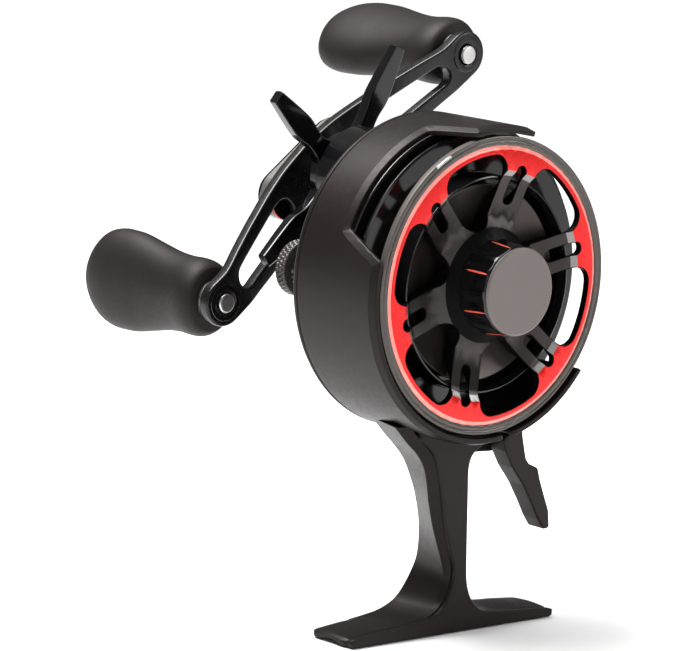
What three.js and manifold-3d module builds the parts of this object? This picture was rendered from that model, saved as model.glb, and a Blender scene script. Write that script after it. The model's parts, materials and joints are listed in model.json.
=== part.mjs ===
// Inline ice-fishing reel: a ported spool turns on a fixed spindle in front of a gear case.
// A double-paddle crank drives it through a spur pair, and a star sets the drag.
// The reel stands on the underside of its foot. Millimetres, +Z up.
// +Y points to the crank side, and +X points along the foot to the trigger side.

import * as THREE from 'three';
import { mergeVertices } from 'three/addons/utils/BufferGeometryUtils.js';
import Module from 'manifold-3d';

// Driving dimensions
const rimRadius = 32;            // spool rim
const axisHeight = 76.5;         // foot underside to spool axis
const footSetback = 12.7;        // spool rim's front plane to the foot's centre line
const gearModule = 0.5;
const driveTeeth = 49;
const pinionTeeth = 19;
const crankSpan = 84.5;          // knob post to knob post
const crankAngle = 37.8;         // degrees above +X at rest
const footLength = 59.4;
const footWidth = 13.5;
const clearance = 0.1;           // between pieces that touch or are bolted together

// Depths along the spool axis, measured back from the rim's front plane
const lipFront = -0.5;
const spokeDrop = 2.5;
const flangeBack = 1.7;
const rearFlangeFront = 8.3;
const rearFlangeBack = 9.3;
const plateFront = 10.4;
const caseFront = 11.4;
const plateBack = 12.4;
const caseBack = 23.8;
const coverBack = 27.2;
const bossBack = 46;
const starFront = 47.2;
const starBack = 50.2;
const crankHubFront = 56;
const crankLobeFront = 48;
const crankThickness = 2.8;
const knobEnd = 92;
const dialFace = -8.1;

// Radii
const caseRadius = rimRadius + 2.3;
const caseWall = 1.3;
const redRadius = 29.9;
const windowRadius = 28;
const drumRadius = 23.3;
const hubRadius = 12;
const dishRadius = 21.3;
const dialRadius = 9.4;
const spindleRadius = 2;
const shaftRadius = 3;
const bossRadius = 11.6;
const pivotRadius = 2.15;
const lobeRadius = 5.2;

// Places worked out from the driving dimensions
const driveHeight = gearModule * (driveTeeth + pinionTeeth) / 2;
const spokeCount = 6;
const spokeStart = 15.6;         // degrees from +X to the first spoke
const spokeWidth = 8.4;
const starCount = 5;
const starStart = 70;
const starReach = 30.3;
const clickX = -20.8;
const clickZ = -0.6;
const screwCount = 4;

// Sides of a turned piece, from the casing down to the screws
const fine = 60;
const medium = 40;
const small = 24;
const tiny = 16;

const radians = THREE.MathUtils.degToRad;
const wasm = await Module();
wasm.setup();

const plain = (color, metalness, roughness) => (
  new THREE.MeshStandardMaterial({ color, metalness, roughness }));
const looks = {
  casting: plain(0x35312f, 0.3, 0.5),
  anodised: plain(0xd0302a, 0.8, 0.35),
  gloss: plain(0x101113, 0.4, 0.12),
  machined: plain(0x6b645f, 0.8, 0.35),
  steel: plain(0xb8b8b8, 0.95, 0.25),
  brass: plain(0xb08d4a, 0.9, 0.35),
  rubber: plain(0x2c2827, 0.0, 0.7),
  fibre: plain(0x4a4a3e, 0.0, 0.9),
  polymer: plain(0x1b1b1c, 0.0, 0.5),
  magnet: plain(0x8d9096, 0.9, 0.3),
};

const part = new THREE.Group();
const reel = new THREE.Group();
reel.position.set(0, -footSetback, axisHeight);
part.add(reel);

function place(name, geometry, look, parent = reel) {
  const mesh = new THREE.Mesh(geometry, looks[look]);
  mesh.name = name;
  parent.add(mesh);
  return mesh;
}

// Solid helpers

function toSolid(geometry) {
  const bare = geometry.clone();
  bare.deleteAttribute('normal');
  bare.deleteAttribute('uv');
  const merged = mergeVertices(bare, 1e-4);
  const kept = [];
  const index = merged.index.array;
  for (let i = 0; i < index.length; i += 3) {
    const [a, b, c] = [index[i], index[i + 1], index[i + 2]];
    if (a !== b && b !== c && c !== a) kept.push(a, b, c);
  }
  const vertProperties = new Float32Array(merged.attributes.position.array);
  const triVerts = new Uint32Array(kept);
  return new wasm.Manifold(new wasm.Mesh({ numProp: 3, vertProperties, triVerts }));
}

function toGeometry(solid) {
  const mesh = solid.getMesh();
  const geometry = new THREE.BufferGeometry();
  const points = new THREE.BufferAttribute(new Float32Array(mesh.vertProperties), 3);
  geometry.setAttribute('position', points);
  geometry.setIndex(new THREE.BufferAttribute(new Uint32Array(mesh.triVerts), 1));
  geometry.computeVertexNormals();
  return geometry;
}

// A boolean can leave flakes with no volume, so only the main body is kept.
function mainBody(solid) {
  return solid.decompose().reduce((best, body) => (body.volume() > best.volume() ? body : best));
}

function join(pieces) {
  return pieces.map(toSolid).reduce((sum, piece) => sum.add(piece));
}

function cut(solid, cutters) {
  return cutters.map(toSolid).reduce((rest, cutter) => rest.subtract(cutter), solid);
}

// A turned piece about the Y axis; the profile is [radius, y] with the outside going up in y.
function turned(profile, segments = small) {
  const points = profile.map(([radius, y]) => new THREE.Vector2(radius, y));
  return new THREE.LatheGeometry(points, segments);
}

function rod(radius, y0, y1, segments = small) {
  return turned([[0, y0], [radius, y0], [radius, y1], [0, y1]], segments);
}

function chamferedRod(radius, y0, y1, chamfer, segments = small) {
  const inner = radius - chamfer;
  const profile = [[0, y0], [inner, y0], [radius, y0 + chamfer],
    [radius, y1 - chamfer], [inner, y1], [0, y1]];
  return turned(profile, segments);
}

function ring(inner, outer, y0, y1, segments = small) {
  return turned([[inner, y0], [outer, y0], [outer, y1], [inner, y1], [inner, y0]], segments);
}

// A flat outline in the XZ plane, given depth from y0 to y1.
function slab(shape, y0, y1, curveSegments = 12) {
  const geometry = new THREE.ExtrudeGeometry(shape, { depth: y1 - y0, bevelEnabled: false, curveSegments });
  geometry.rotateX(Math.PI / 2);
  geometry.translate(0, y1, 0);
  return geometry;
}

function polar(radius, degrees) {
  const angle = radians(degrees);
  return new THREE.Vector2(radius * Math.cos(angle), radius * Math.sin(angle));
}

function moved(geometry, x, y, z) {
  geometry.translate(x, y, z);
  return geometry;
}

// A closed skin through stacked sections, each a ring of [x, y, z] points, first section lowest.
function loft(sections) {
  const width = sections[0].length;
  const positions = sections.flat(2);
  const index = [];
  for (let level = 0; level < sections.length - 1; level += 1) {
    for (let i = 0; i < width; i += 1) {
      const a = level * width + i;
      const b = level * width + (i + 1) % width;
      index.push(a, b, b + width, a, b + width, a + width);
    }
  }
  const top = (sections.length - 1) * width;
  for (let i = 1; i < width - 1; i += 1) {
    index.push(0, i + 1, i);
    index.push(top, top + i, top + i + 1);
  }
  const geometry = new THREE.BufferGeometry();
  geometry.setAttribute('position', new THREE.Float32BufferAttribute(positions, 3));
  geometry.setIndex(index);
  geometry.computeVertexNormals();
  return geometry;
}

function chamferedBox(x, y, halfX, halfY, chamfer, z) {
  return [
    [x - halfX + chamfer, y - halfY, z], [x + halfX - chamfer, y - halfY, z],
    [x + halfX, y - halfY + chamfer, z], [x + halfX, y + halfY - chamfer, z],
    [x + halfX - chamfer, y + halfY, z], [x - halfX + chamfer, y + halfY, z],
    [x - halfX, y + halfY - chamfer, z], [x - halfX, y - halfY + chamfer, z],
  ];
}

// Frame: gear case, guard band, top tab, stem and foot in one casting

const guardReach = 60;
const openSideFrom = -36.7;
const openSideTo = 73.5;
const triggerGapFrom = -81;
const triggerGapTo = -69;
const windowFrom = 103;
const windowRiseTo = 108;
const windowFallFrom = 158.3;
const windowTo = 167.7;
const lap = 0.4;

// A cutter through the guard band between two angles, as deep as given at each angle.
function guardCutter(from, to, backFrom, backTo) {
  const front = lipFront - 3;
  const mid = (from + to) / 2;
  const backMid = (backFrom + backTo) / 2;
  const outline = [[from, front], [from, backFrom], [mid, backMid], [to, backTo], [to, front], [mid, front]];
  const ringAt = (radius) => outline.map(([degrees, y]) => {
    const point = polar(radius, degrees);
    return [point.x, y, point.y];
  });
  return loft([ringAt(rimRadius - 4), ringAt(guardReach)]);
}

function guardStrips(from, to, count) {
  const step = (to - from) / count;
  const strips = [];
  for (let i = 0; i < count; i += 1) {
    const start = from + i * step;
    strips.push(guardCutter(start, start + step + (i < count - 1 ? lap : 0), caseFront, caseFront));
  }
  return strips;
}

function guardCutters() {
  return [
    ...guardStrips(openSideFrom, openSideTo, 6),
    guardCutter(windowFrom, windowRiseTo + lap, lipFront, caseFront),
    ...guardStrips(windowRiseTo, windowFallFrom, 3),
    guardCutter(windowFallFrom - lap, windowTo, caseFront, lipFront),
    guardCutter(triggerGapFrom, triggerGapTo, caseFront, caseFront),
  ];
}

// The stem is a blade, thin along the foot and deep along the spool axis, that flares into case and foot.
const stemLevels = [
  { up: 1.2, x: 0, halfX: 17, halfY: 6.6 },
  { up: 3.6, x: 0, halfX: 12.5, halfY: 6.6 },
  { up: 6.5, x: 0.1, halfX: 7, halfY: 6.5 },
  { up: 10.5, x: 0.5, halfX: 3.3, halfY: 6.5 },
  { up: 16, x: 0.4, halfX: 2.4, halfY: 6.3 },
  { up: 28, x: -1.9, halfX: 3.9, halfY: 5.7 },
  { up: 35.5, x: -2.4, halfX: 5.8, halfY: 5.8 },
  { up: 40, x: -3.6, halfX: 9, halfY: 6.2 },
  { up: 46, x: -3, halfX: 14, halfY: 9 },
];

function stemSkin() {
  const centre = footSetback - 0.4;
  const sections = stemLevels.map(({ up, x, halfX, halfY }) => (
    chamferedBox(x, centre, halfX, halfY, Math.min(1.2, halfX / 3), up - axisHeight)));
  return loft(sections);
}

function footBlade() {
  const half = footLength / 2;
  const low = -axisHeight;
  const tip = 1.7;
  const crown = 4.4;
  const shape = new THREE.Shape();
  shape.moveTo(-half + 1, low);
  shape.lineTo(half - 1, low);
  shape.quadraticCurveTo(half + 1, low + tip / 2, half - 1, low + tip);
  shape.lineTo(12, low + crown);
  shape.lineTo(-12, low + crown);
  shape.lineTo(-half + 1, low + tip);
  shape.quadraticCurveTo(-half - 1, low + tip / 2, -half + 1, low);
  return slab(shape, footSetback - footWidth / 2, footSetback + footWidth / 2, 6);
}

// The underside is hollowed along X towards each tip, so the foot beds on a round handle.
function footHollow(side) {
  const radius = 16;
  const depth = 0.8;
  const flatHalf = 10;
  const hollow = rod(radius, 0, footLength / 2, small);
  hollow.rotateZ(-side * Math.PI / 2);
  return moved(hollow, side * flatHalf, footSetback, depth - radius - axisHeight);
}

const triggerHinge = { x: 13.1, z: -36.2, radius: 1.2 };
const triggerFront = 4.2;
const triggerBack = 9.4;

function triggerLug() {
  const { x, z } = triggerHinge;
  const shape = new THREE.Shape();
  shape.moveTo(2, -33.4);
  shape.lineTo(11, -32);
  shape.lineTo(x + 2.4, z + 1.6);
  shape.lineTo(x + 2.6, z - 1.2);
  shape.lineTo(x + 1, z - 2.4);
  shape.lineTo(x - 2, z - 2.4);
  shape.lineTo(2, z - 2);
  return shape;
}

function screwSpot(i) {
  return polar(caseRadius - 3.4, 25 + 360 * i / screwCount);
}

const bearingOuter = 5.2;
const bushOuter = 4.2;
const screwCoreRadius = 1;

function frameCasting() {
  const innerRadius = caseRadius - caseWall;
  const band = cut(toSolid(ring(innerRadius, caseRadius, lipFront, caseBack, fine)), guardCutters());
  const posts = [];
  const postHoles = [];
  for (let i = 0; i < screwCount; i += 1) {
    const spot = screwSpot(i);
    posts.push(moved(rod(2.3, plateFront + 1, caseBack - clearance, tiny), spot.x, 0, spot.y));
    postHoles.push(moved(rod(screwCoreRadius, plateBack + 2, caseBack + 1, tiny), spot.x, 0, spot.y));
  }
  const body = join([
    rod(caseRadius - caseWall / 2, plateFront, plateBack, fine),
    rod(bearingOuter + 2, plateFront + 0.5, plateBack + 1.4, small),
    moved(rod(bushOuter + 1.6, plateFront + 0.5, plateBack + 1.6, small), 0, 0, driveHeight),
    ...posts,
  ]);
  const lug = slab(triggerLug(), triggerBack + 0.4, triggerBack + 4.4);
  const stem = cut(join([stemSkin(), footBlade(), lug]), [
    rod(innerRadius - 0.2, lipFront - 6, caseBack + 6, fine),
    footHollow(1),
    footHollow(-1),
  ]);
  const whole = cut(band.add(body).add(stem), [
    rod(bearingOuter, plateFront - 2, plateBack + 3, small),
    moved(rod(bushOuter, plateFront + 0.8, plateBack + 3, small), 0, 0, driveHeight),
    moved(rod(triggerHinge.radius + 0.05, 0, 30, tiny), triggerHinge.x, 0, triggerHinge.z),
    ...postHoles,
  ]);
  return mainBody(whole);
}

place('frame', toGeometry(frameCasting()), 'casting');

// Rear cover with the drive boss and the clicker boss

const coverFront = caseBack + clearance;
const oneWay = { inner: 4, outer: 6.5, front: 29, back: 38 };

function rearCover() {
  const plate = turned([[0, coverFront], [caseRadius, coverFront], [caseRadius, coverFront + 1],
    [caseRadius - 4.3, coverBack], [0, coverBack]], fine);
  const boss = turned([[0, coverFront], [bossRadius + 1.2, coverFront], [bossRadius + 1.2, 28],
    [bossRadius, 30], [bossRadius, bossBack - 0.6], [bossRadius - 0.6, bossBack], [0, bossBack]], medium);
  const clickBoss = moved(chamferedRod(5, coverFront, 36.4, 0.4), clickX, 0, clickZ);
  const solid = join([plate, moved(boss, 0, 0, driveHeight), clickBoss]);
  const holes = [
    moved(rod(oneWay.outer, oneWay.front, bossBack + 1, small), 0, 0, driveHeight),
    moved(rod(4.4, coverFront - 1, oneWay.front + 1, small), 0, 0, driveHeight),
    moved(rod(1.6, coverFront - 1, 38, tiny), clickX, 0, clickZ),
    rod(spindleRadius + 0.02, coverFront - 1, coverBack - 1, small),
  ];
  for (let i = 0; i < screwCount; i += 1) {
    const spot = screwSpot(i);
    holes.push(moved(rod(1.25, coverFront - 1, coverBack + 1, tiny), spot.x, 0, spot.y));
    holes.push(moved(rod(2.3, coverBack - 1.6, coverBack + 1, tiny), spot.x, 0, spot.y));
  }
  return mainBody(cut(solid, holes));
}

place('rear_cover', toGeometry(rearCover()), 'casting');

for (let i = 0; i < screwCount; i += 1) {
  const spot = screwSpot(i);
  const core = screwCoreRadius - 0.05;
  const headFront = coverBack - 1.5;
  const screw = turned([[0, plateBack + 3], [core, plateBack + 3], [core, headFront], [2.1, headFront],
    [2.1, coverBack - 0.4], [1.2, coverBack - 0.1], [0, coverBack - 0.1]], tiny);
  place(`rear_cover_screw_${i + 1}`, moved(screw, spot.x, 0, spot.y), 'steel');
}

// Spindle: fixed to the rear cover, it carries the spool bearings and the dial

const spindleFront = -4;
place('spindle', rod(spindleRadius, spindleFront, coverBack - 1.2, small), 'steel');

// Spool: front flange with six slotted spokes, drum, rear flange and inner dish

const shoulderRadius = 14.5;     // where the hub's cone meets the spokes
const cornerRadius = windowRadius - 3;

function windowShape(degrees) {
  const halfPitch = 180 / spokeCount;
  const edge = spokeWidth / 2;
  const sideAngle = (radius) => halfPitch - THREE.MathUtils.radToDeg(Math.asin(edge / radius));
  const corners = [
    polar(hubRadius + 0.6, degrees),
    polar(shoulderRadius, degrees + sideAngle(shoulderRadius)),
    polar(cornerRadius, degrees + sideAngle(cornerRadius)),
  ];
  for (let i = 4; i >= -4; i -= 1) {
    const reach = sideAngle(windowRadius) - 6;
    corners.push(polar(windowRadius, degrees + reach * i / 4));
  }
  corners.push(polar(cornerRadius, degrees - sideAngle(cornerRadius)));
  corners.push(polar(shoulderRadius, degrees - sideAngle(shoulderRadius)));
  return new THREE.Shape(corners.reverse());
}

const slotHalf = 1.3;
const slotLength = 6;
const slotEnd = 24.6;

function spokeSlot(degrees) {
  const shape = new THREE.Shape();
  shape.absarc(0, 0, slotHalf, -Math.PI / 2, Math.PI / 2, false);
  shape.lineTo(-slotLength, slotHalf);
  shape.absarc(-slotLength, 0, slotHalf, Math.PI / 2, Math.PI * 1.5, false);
  const slot = slab(shape, lipFront - 2, spokeDrop + 4, 8);
  slot.translate(slotEnd, 0, 0);
  slot.rotateY(-radians(degrees));
  return slot;
}

const flangeWeb = 1.4;
const hubBore = 5;

function spoolFlange() {
  const dished = turned([
    [hubBore, spokeDrop], [shoulderRadius, spokeDrop], [22, 0.8], [slotEnd, 0.3], [redRadius, 0.2],
    [redRadius, 0], [rimRadius - 0.4, 0], [rimRadius, 0.5], [rimRadius, flangeBack - 0.3],
    [rimRadius - 0.3, flangeBack], [drumRadius - 1.4, flangeBack], [shoulderRadius, spokeDrop + flangeWeb],
    [hubBore, spokeDrop + flangeWeb], [hubBore, spokeDrop],
  ], fine);
  const cutters = [];
  for (let i = 0; i < spokeCount; i += 1) {
    const degrees = spokeStart + 360 * i / spokeCount;
    cutters.push(slab(windowShape(degrees + 30), lipFront - 2, 8));
    cutters.push(spokeSlot(degrees));
  }
  return mainBody(cut(toSolid(dished), cutters));
}

place('spool_front_flange', toGeometry(spoolFlange()), 'anodised');

const webBack = rearFlangeBack;
const webFront = rearFlangeFront - 0.3;
const rearFlangeRadius = rimRadius - 0.5;

function spoolDrum() {
  const drumFront = flangeBack + clearance;
  const profile = [[hubBore, webFront], [drumRadius - 1, webFront], [drumRadius - 1, drumFront],
    [drumRadius, drumFront], [drumRadius, rearFlangeFront], [rearFlangeRadius, rearFlangeFront],
    [rearFlangeRadius, webBack], [hubBore, webBack], [hubBore, webFront]];
  return turned(profile, fine);
}

place('spool_drum', spoolDrum(), 'gloss');

const hubFront = spokeDrop + flangeWeb + clearance;
const hubSleeve = 8.8;
place('spool_hub', ring(hubBore, hubSleeve, hubFront, webFront - clearance, small), 'machined');

function spoolDish() {
  const inner = hubSleeve + clearance;
  const back = webFront - clearance;
  const profile = [[inner, back - 1], [14, back - 1], [dishRadius - 0.3, 4.7], [dishRadius, 4.9],
    [dishRadius, 5.5], [14.3, back], [inner, back], [inner, back - 1]];
  return turned(profile, medium);
}

place('spool_dish', spoolDish(), 'machined');

const raceInner = spindleRadius + 0.05;
const raceOuter = hubBore - 0.03;
place('spool_bearing_front', ring(raceInner, raceOuter, spokeDrop + 0.2, 5, small), 'steel');
place('spool_bearing_rear', ring(raceInner, raceOuter, 6.6, webBack - 0.3, small), 'steel');
place('conductor_ring', ring(6.2, 8.4, spokeDrop - 0.9, spokeDrop - 0.05, small), 'steel');

// Brake dial: it screws on the spindle and carries magnets up to the conductor ring

const fluteCount = 14;
const firstRidge = 103;          // degrees from +X
const fluteRadius = 2.4;
const fluteDepth = 0.5;
const dialBack = 1;
const dialBackRadius = 10.3;
const dialBody = dialFace + 0.7;

function dial() {
  const spindleBore = spindleRadius + 0.05;
  const profile = [[0, dialBody], [dialRadius, dialBody], [dialBackRadius, dialBack], [8.7, dialBack],
    [8.4, -5.6], [4.2, -5.6], [4.2, -1.8], [spindleBore, -1.8], [spindleBore, -4.4], [0, -4.4]];
  const flutes = [];
  for (let i = 0; i < fluteCount; i += 1) {
    const spot = polar(dialBackRadius + fluteRadius - fluteDepth, firstRidge + 360 * (i + 0.5) / fluteCount);
    flutes.push(moved(rod(fluteRadius, dialBody + 1.4, dialBack + 1, tiny), spot.x, 0, spot.y));
  }
  return cut(toSolid(turned(profile, fine)), flutes);
}

place('brake_dial', toGeometry(dial()), 'gloss');
place('dial_face', chamferedRod(dialRadius, dialFace, dialBody - 0.05, 0.2, fine), 'machined');
place('magnet_carrier', ring(4.25, 8.3, -3.4, -1.6, small), 'polymer');

const magnetCount = 4;
const magnetCircle = 6.3;
for (let i = 0; i < magnetCount; i += 1) {
  const spot = polar(magnetCircle, 45 + 360 * i / magnetCount);
  place(`magnet_${i + 1}`, moved(rod(1.6, -1.55, 0.9, tiny), spot.x, 0, spot.y), 'magnet');
}

// Gears

const addendum = 0.4;
const dedendum = 0.52;
const gearFront = 17.6;
const gearBack = 20.4;
const rootHalfWidth = 0.46;
const tipHalfWidth = 0.16;

// Straight flanks, thinned at the pitch line so that the pair turns with backlash.
function gearShape(teeth) {
  const pitch = gearModule * teeth / 2;
  const toothAngle = 360 / teeth;
  const halfAt = (radius, width) => THREE.MathUtils.radToDeg(width / radius);
  const points = [];
  for (let i = 0; i < teeth; i += 1) {
    const middle = 90 + i * toothAngle;
    const foot = halfAt(pitch - dedendum, rootHalfWidth);
    const tip = halfAt(pitch + addendum, tipHalfWidth);
    points.push(polar(pitch - dedendum, middle - foot), polar(pitch + addendum, middle - tip));
    points.push(polar(pitch + addendum, middle + tip), polar(pitch - dedendum, middle + foot));
  }
  return new THREE.Shape(points);
}

const neckRadius = 3.2;
const neckFront = plateBack + 1.6;
const pinionBore = spindleRadius + 0.3;

function pinion() {
  const front = webBack + 0.15;
  const back = gearBack + 0.4;
  const head = [[pinionBore, front], [4.8, front], [4.8, plateFront - 0.2], [3.5, plateFront - 0.2],
    [3.5, neckFront], [neckRadius, neckFront], [neckRadius, gearFront], [4, gearFront], [4, back],
    [pinionBore, back], [pinionBore, front]];
  const teeth = toSolid(slab(gearShape(pinionTeeth), gearFront - 0.2, gearBack + 0.2));
  const whole = teeth.add(toSolid(turned(head, small)));
  return whole.subtract(toSolid(rod(pinionBore, webBack, gearBack + 2, small)));
}

place('pinion_gear', toGeometry(pinion()), 'brass');
place('pinion_bearing', ring(3.55, bearingOuter - 0.03, plateFront + 0.1, plateBack + 1.4, small), 'steel');

function driveGear() {
  const blank = toSolid(slab(gearShape(driveTeeth), gearFront, gearBack));
  return blank.subtract(toSolid(rod(shaftRadius + 0.05, gearFront - 1, gearBack + 1, small)));
}

// Crank line: everything on the drive axis

const drive = new THREE.Group();
drive.position.set(0, 0, driveHeight);
reel.add(drive);

const nutFront = crankHubFront + crankThickness + clearance;
const coverCapFront = nutFront + 4;
const shaftBack = nutFront + 3;
const shaftFront = plateFront + 1.1;
const shaftFit = shaftRadius + 0.05;
place('handle_shaft', rod(shaftRadius, shaftFront, shaftBack, small), 'steel', drive);
place('shaft_bush', ring(shaftFit, bushOuter - 0.03, shaftFront, plateBack + 1.6, small), 'brass', drive);
place('drive_gear', toGeometry(driveGear()), 'brass', drive);

const dragStack = [
  { name: 'drag_washer_fibre_1', thick: 0.7, look: 'fibre' },
  { name: 'drag_washer_metal', thick: 0.5, look: 'steel' },
  { name: 'drag_washer_fibre_2', thick: 0.7, look: 'fibre' },
  { name: 'drag_pressure_plate', thick: 0.8, look: 'steel' },
];
let stackFront = gearBack + 0.05;
for (const { name, thick, look } of dragStack) {
  place(name, ring(shaftRadius + 0.2, 10.4, stackFront, stackFront + thick, medium), look, drive);
  stackFront += thick + 0.05;
}

const washerBack = starFront - 0.1;
const seatRadius = oneWay.outer - 0.03;
place('shaft_sleeve', ring(shaftFit, oneWay.inner - 0.05, coverFront, washerBack, small), 'steel', drive);
const oneWayRing = ring(oneWay.inner, seatRadius, oneWay.front + 0.05, oneWay.back, small);
place('one_way_bearing', oneWayRing, 'steel', drive);
place('boss_seal', ring(oneWay.inner + 0.1, seatRadius, 41, bossBack - 0.8, small), 'rubber', drive);
place('star_spring_washer', ring(oneWay.inner, 6.2, bossBack + 0.2, washerBack, small), 'steel', drive);

function starProng(degrees) {
  const levels = [
    { r: 7, y: 48.7, halfY: 1.45, halfW: 3.6 },
    { r: 12.5, y: 48.6, halfY: 1.4, halfW: 2.7 },
    { r: 19, y: 47.6, halfY: 1.4, halfW: 3.1 },
    { r: 25, y: 46.6, halfY: 1.3, halfW: 2.7 },
    { r: starReach, y: 45.8, halfY: 1.1, halfW: 1.5 },
  ];
  const prong = loft(levels.map(({ r, y, halfY, halfW }) => chamferedBox(0, y, halfW, halfY, 0.4, r)));
  prong.rotateY(radians(90 - degrees));
  return prong;
}

function star() {
  const prongs = [];
  for (let i = 0; i < starCount; i += 1) prongs.push(starProng(starStart + 360 * i / starCount));
  const hub = join([chamferedRod(9.8, starFront, starBack, 0.5, medium), ...prongs]);
  return hub.subtract(toSolid(rod(shaftRadius + 0.1, 40, 60, small)));
}

place('drag_star', toGeometry(star()), 'gloss', drive);

// The arms leave the hub flat, then sweep towards the casing before the knob posts.
const halfSpan = crankSpan / 2;
const cutFront = 40;
const cutBack = 70;
const armWidths = [[0, 8.4], [8, 7.8], [16, 7.1], [26, 6.4], [halfSpan - 4, lobeRadius + 0.15]];

function armOutline() {
  const shape = new THREE.Shape();
  shape.moveTo(-armWidths[4][0], -armWidths[4][1]);
  for (const [x, half] of armWidths.slice(0, 4).reverse()) shape.lineTo(-x, -half);
  for (const [x, half] of armWidths.slice(1)) shape.lineTo(x, -half);
  shape.absarc(halfSpan, 0, lobeRadius, -Math.PI / 2, Math.PI / 2, false);
  for (const [x, half] of armWidths.slice(1).reverse()) shape.lineTo(x, half);
  for (const [x, half] of armWidths) shape.lineTo(-x, half);
  shape.absarc(-halfSpan, 0, lobeRadius, Math.PI / 2, Math.PI * 1.5, false);
  return shape;
}

function armSlot(side) {
  const inner = 15;
  const outer = 33.6;
  const innerHalf = 3.7;
  const outerHalf = 2.6;
  const shape = new THREE.Shape();
  shape.moveTo(inner, -innerHalf);
  shape.lineTo(outer, -outerHalf);
  shape.absarc(outer, 0, outerHalf, -Math.PI / 2, Math.PI / 2, false);
  shape.lineTo(inner, innerHalf);
  shape.absarc(inner, 0, innerHalf, Math.PI / 2, Math.PI * 1.5, false);
  const slot = slab(shape, cutFront, cutBack, 8);
  if (side < 0) slot.rotateY(Math.PI);
  return slot;
}

// The side view of the crank: depth against distance along the arm.
function armSweep() {
  const path = [[0, crankHubFront], [9, crankHubFront - 0.1], [16, crankHubFront - 1.4],
    [25, crankHubFront - 4], [33, crankLobeFront + 1.6], [37.3, crankLobeFront],
    [halfSpan + 8, crankLobeFront]];
  const front = [...path.slice(1).reverse().map(([x, y]) => [-x, y]), ...path];
  const back = front.map(([x, y]) => [x, y + crankThickness]).reverse();
  const shape = new THREE.Shape([...front, ...back].map(([x, y]) => new THREE.Vector2(x, y)));
  const depth = 30;
  const side = new THREE.ExtrudeGeometry(shape, { depth, bevelEnabled: false });
  return moved(side, 0, 0, -depth / 2);
}

function crankArm() {
  const outline = toSolid(slab(armOutline(), cutFront, cutBack, 10));
  const holes = [armSlot(1), armSlot(-1), rod(shaftRadius + 0.03, cutFront, cutBack, small)];
  for (const side of [-1, 1]) {
    holes.push(moved(rod(pivotRadius + 0.03, cutFront, cutBack, small), side * halfSpan, 0, 0));
  }
  return cut(outline.intersect(toSolid(armSweep())), holes);
}

const crank = new THREE.Group();
crank.rotation.y = -radians(crankAngle);
drive.add(crank);
place('crank_arm', toGeometry(crankArm()), 'casting', crank);

function hexagon(acrossFlats) {
  const corner = acrossFlats / 2 / Math.cos(Math.PI / 6);
  return new THREE.Shape([0, 1, 2, 3, 4, 5].map((i) => polar(corner, 60 * i)));
}

function nutBody() {
  const blank = toSolid(slab(hexagon(9), nutFront, nutFront + 3.2));
  return blank.subtract(toSolid(rod(shaftRadius + 0.03, nutFront - 1, nutFront + 5, small)));
}

const coverHalf = 9;
const coverEnd = 5.6;
const capScrewHole = 1.3;

function stadium(half, radius) {
  const shape = new THREE.Shape();
  shape.absarc(half, 0, radius, -Math.PI / 2, Math.PI / 2, false);
  shape.absarc(-half, 0, radius, Math.PI / 2, Math.PI * 1.5, false);
  return shape;
}

function nutCover() {
  const blank = toSolid(slab(stadium(coverHalf, coverEnd), nutFront, coverCapFront, 10));
  return cut(blank, [
    slab(hexagon(9.4), nutFront - 1, nutFront + 3.5),
    moved(rod(capScrewHole, nutFront - 1, coverCapFront + 1, tiny), -coverHalf, 0, 0),
  ]);
}

function coverCap() {
  const outline = stadium(coverHalf, coverEnd);
  const blank = toSolid(slab(outline, coverCapFront + clearance, coverCapFront + 1.3, 10));
  const hole = rod(capScrewHole, coverCapFront - 1, coverCapFront + 3, tiny);
  return blank.subtract(toSolid(moved(hole, -coverHalf, 0, 0)));
}

place('handle_nut', toGeometry(nutBody()), 'steel', crank);
place('nut_cover', toGeometry(nutCover()), 'machined', crank);
place('nut_cover_cap', toGeometry(coverCap()), 'gloss', crank);
const capScrew = turned([[0, nutFront + 0.5], [1.2, nutFront + 0.5], [1.2, coverCapFront + 1.4],
  [2, coverCapFront + 1.4], [1.7, coverCapFront + 2.2], [0, coverCapFront + 2.2]], tiny);
place('nut_cover_screw', moved(capScrew, -coverHalf, 0, 0), 'steel', crank);

// Knobs: oval paddles that turn freely on their posts

const knobFront = crankLobeFront + crankThickness + 1.6;
const knobBore = 3.5;
const knobLevels = [
  { at: 0, wide: 7.6, thick: 6.6 },
  { at: 0.1, wide: 8.5, thick: 7.2 },
  { at: 0.3, wide: 8.9, thick: 6.4 },
  { at: 0.5, wide: 10.1, thick: 6.2 },
  { at: 0.7, wide: 11.3, thick: 6.5 },
  { at: 0.85, wide: 10.6, thick: 6.3 },
  { at: 0.96, wide: 8, thick: 5.3 },
  { at: 1, wide: 5.6, thick: 4.4 },
];

function oval(wide, thick, y, count = 24) {
  const points = [];
  for (let i = 0; i < count; i += 1) {
    const angle = 2 * Math.PI * i / count;
    points.push([wide * Math.cos(angle), y, -thick * Math.sin(angle)]);
  }
  return points;
}

function paddle() {
  const length = knobEnd - knobFront;
  const skin = loft(knobLevels.map(({ at, wide, thick }) => oval(wide, thick, knobFront + at * length)));
  return cut(toSolid(skin), [rod(knobBore, knobFront - 1, knobEnd + 1, small)]);
}

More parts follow.
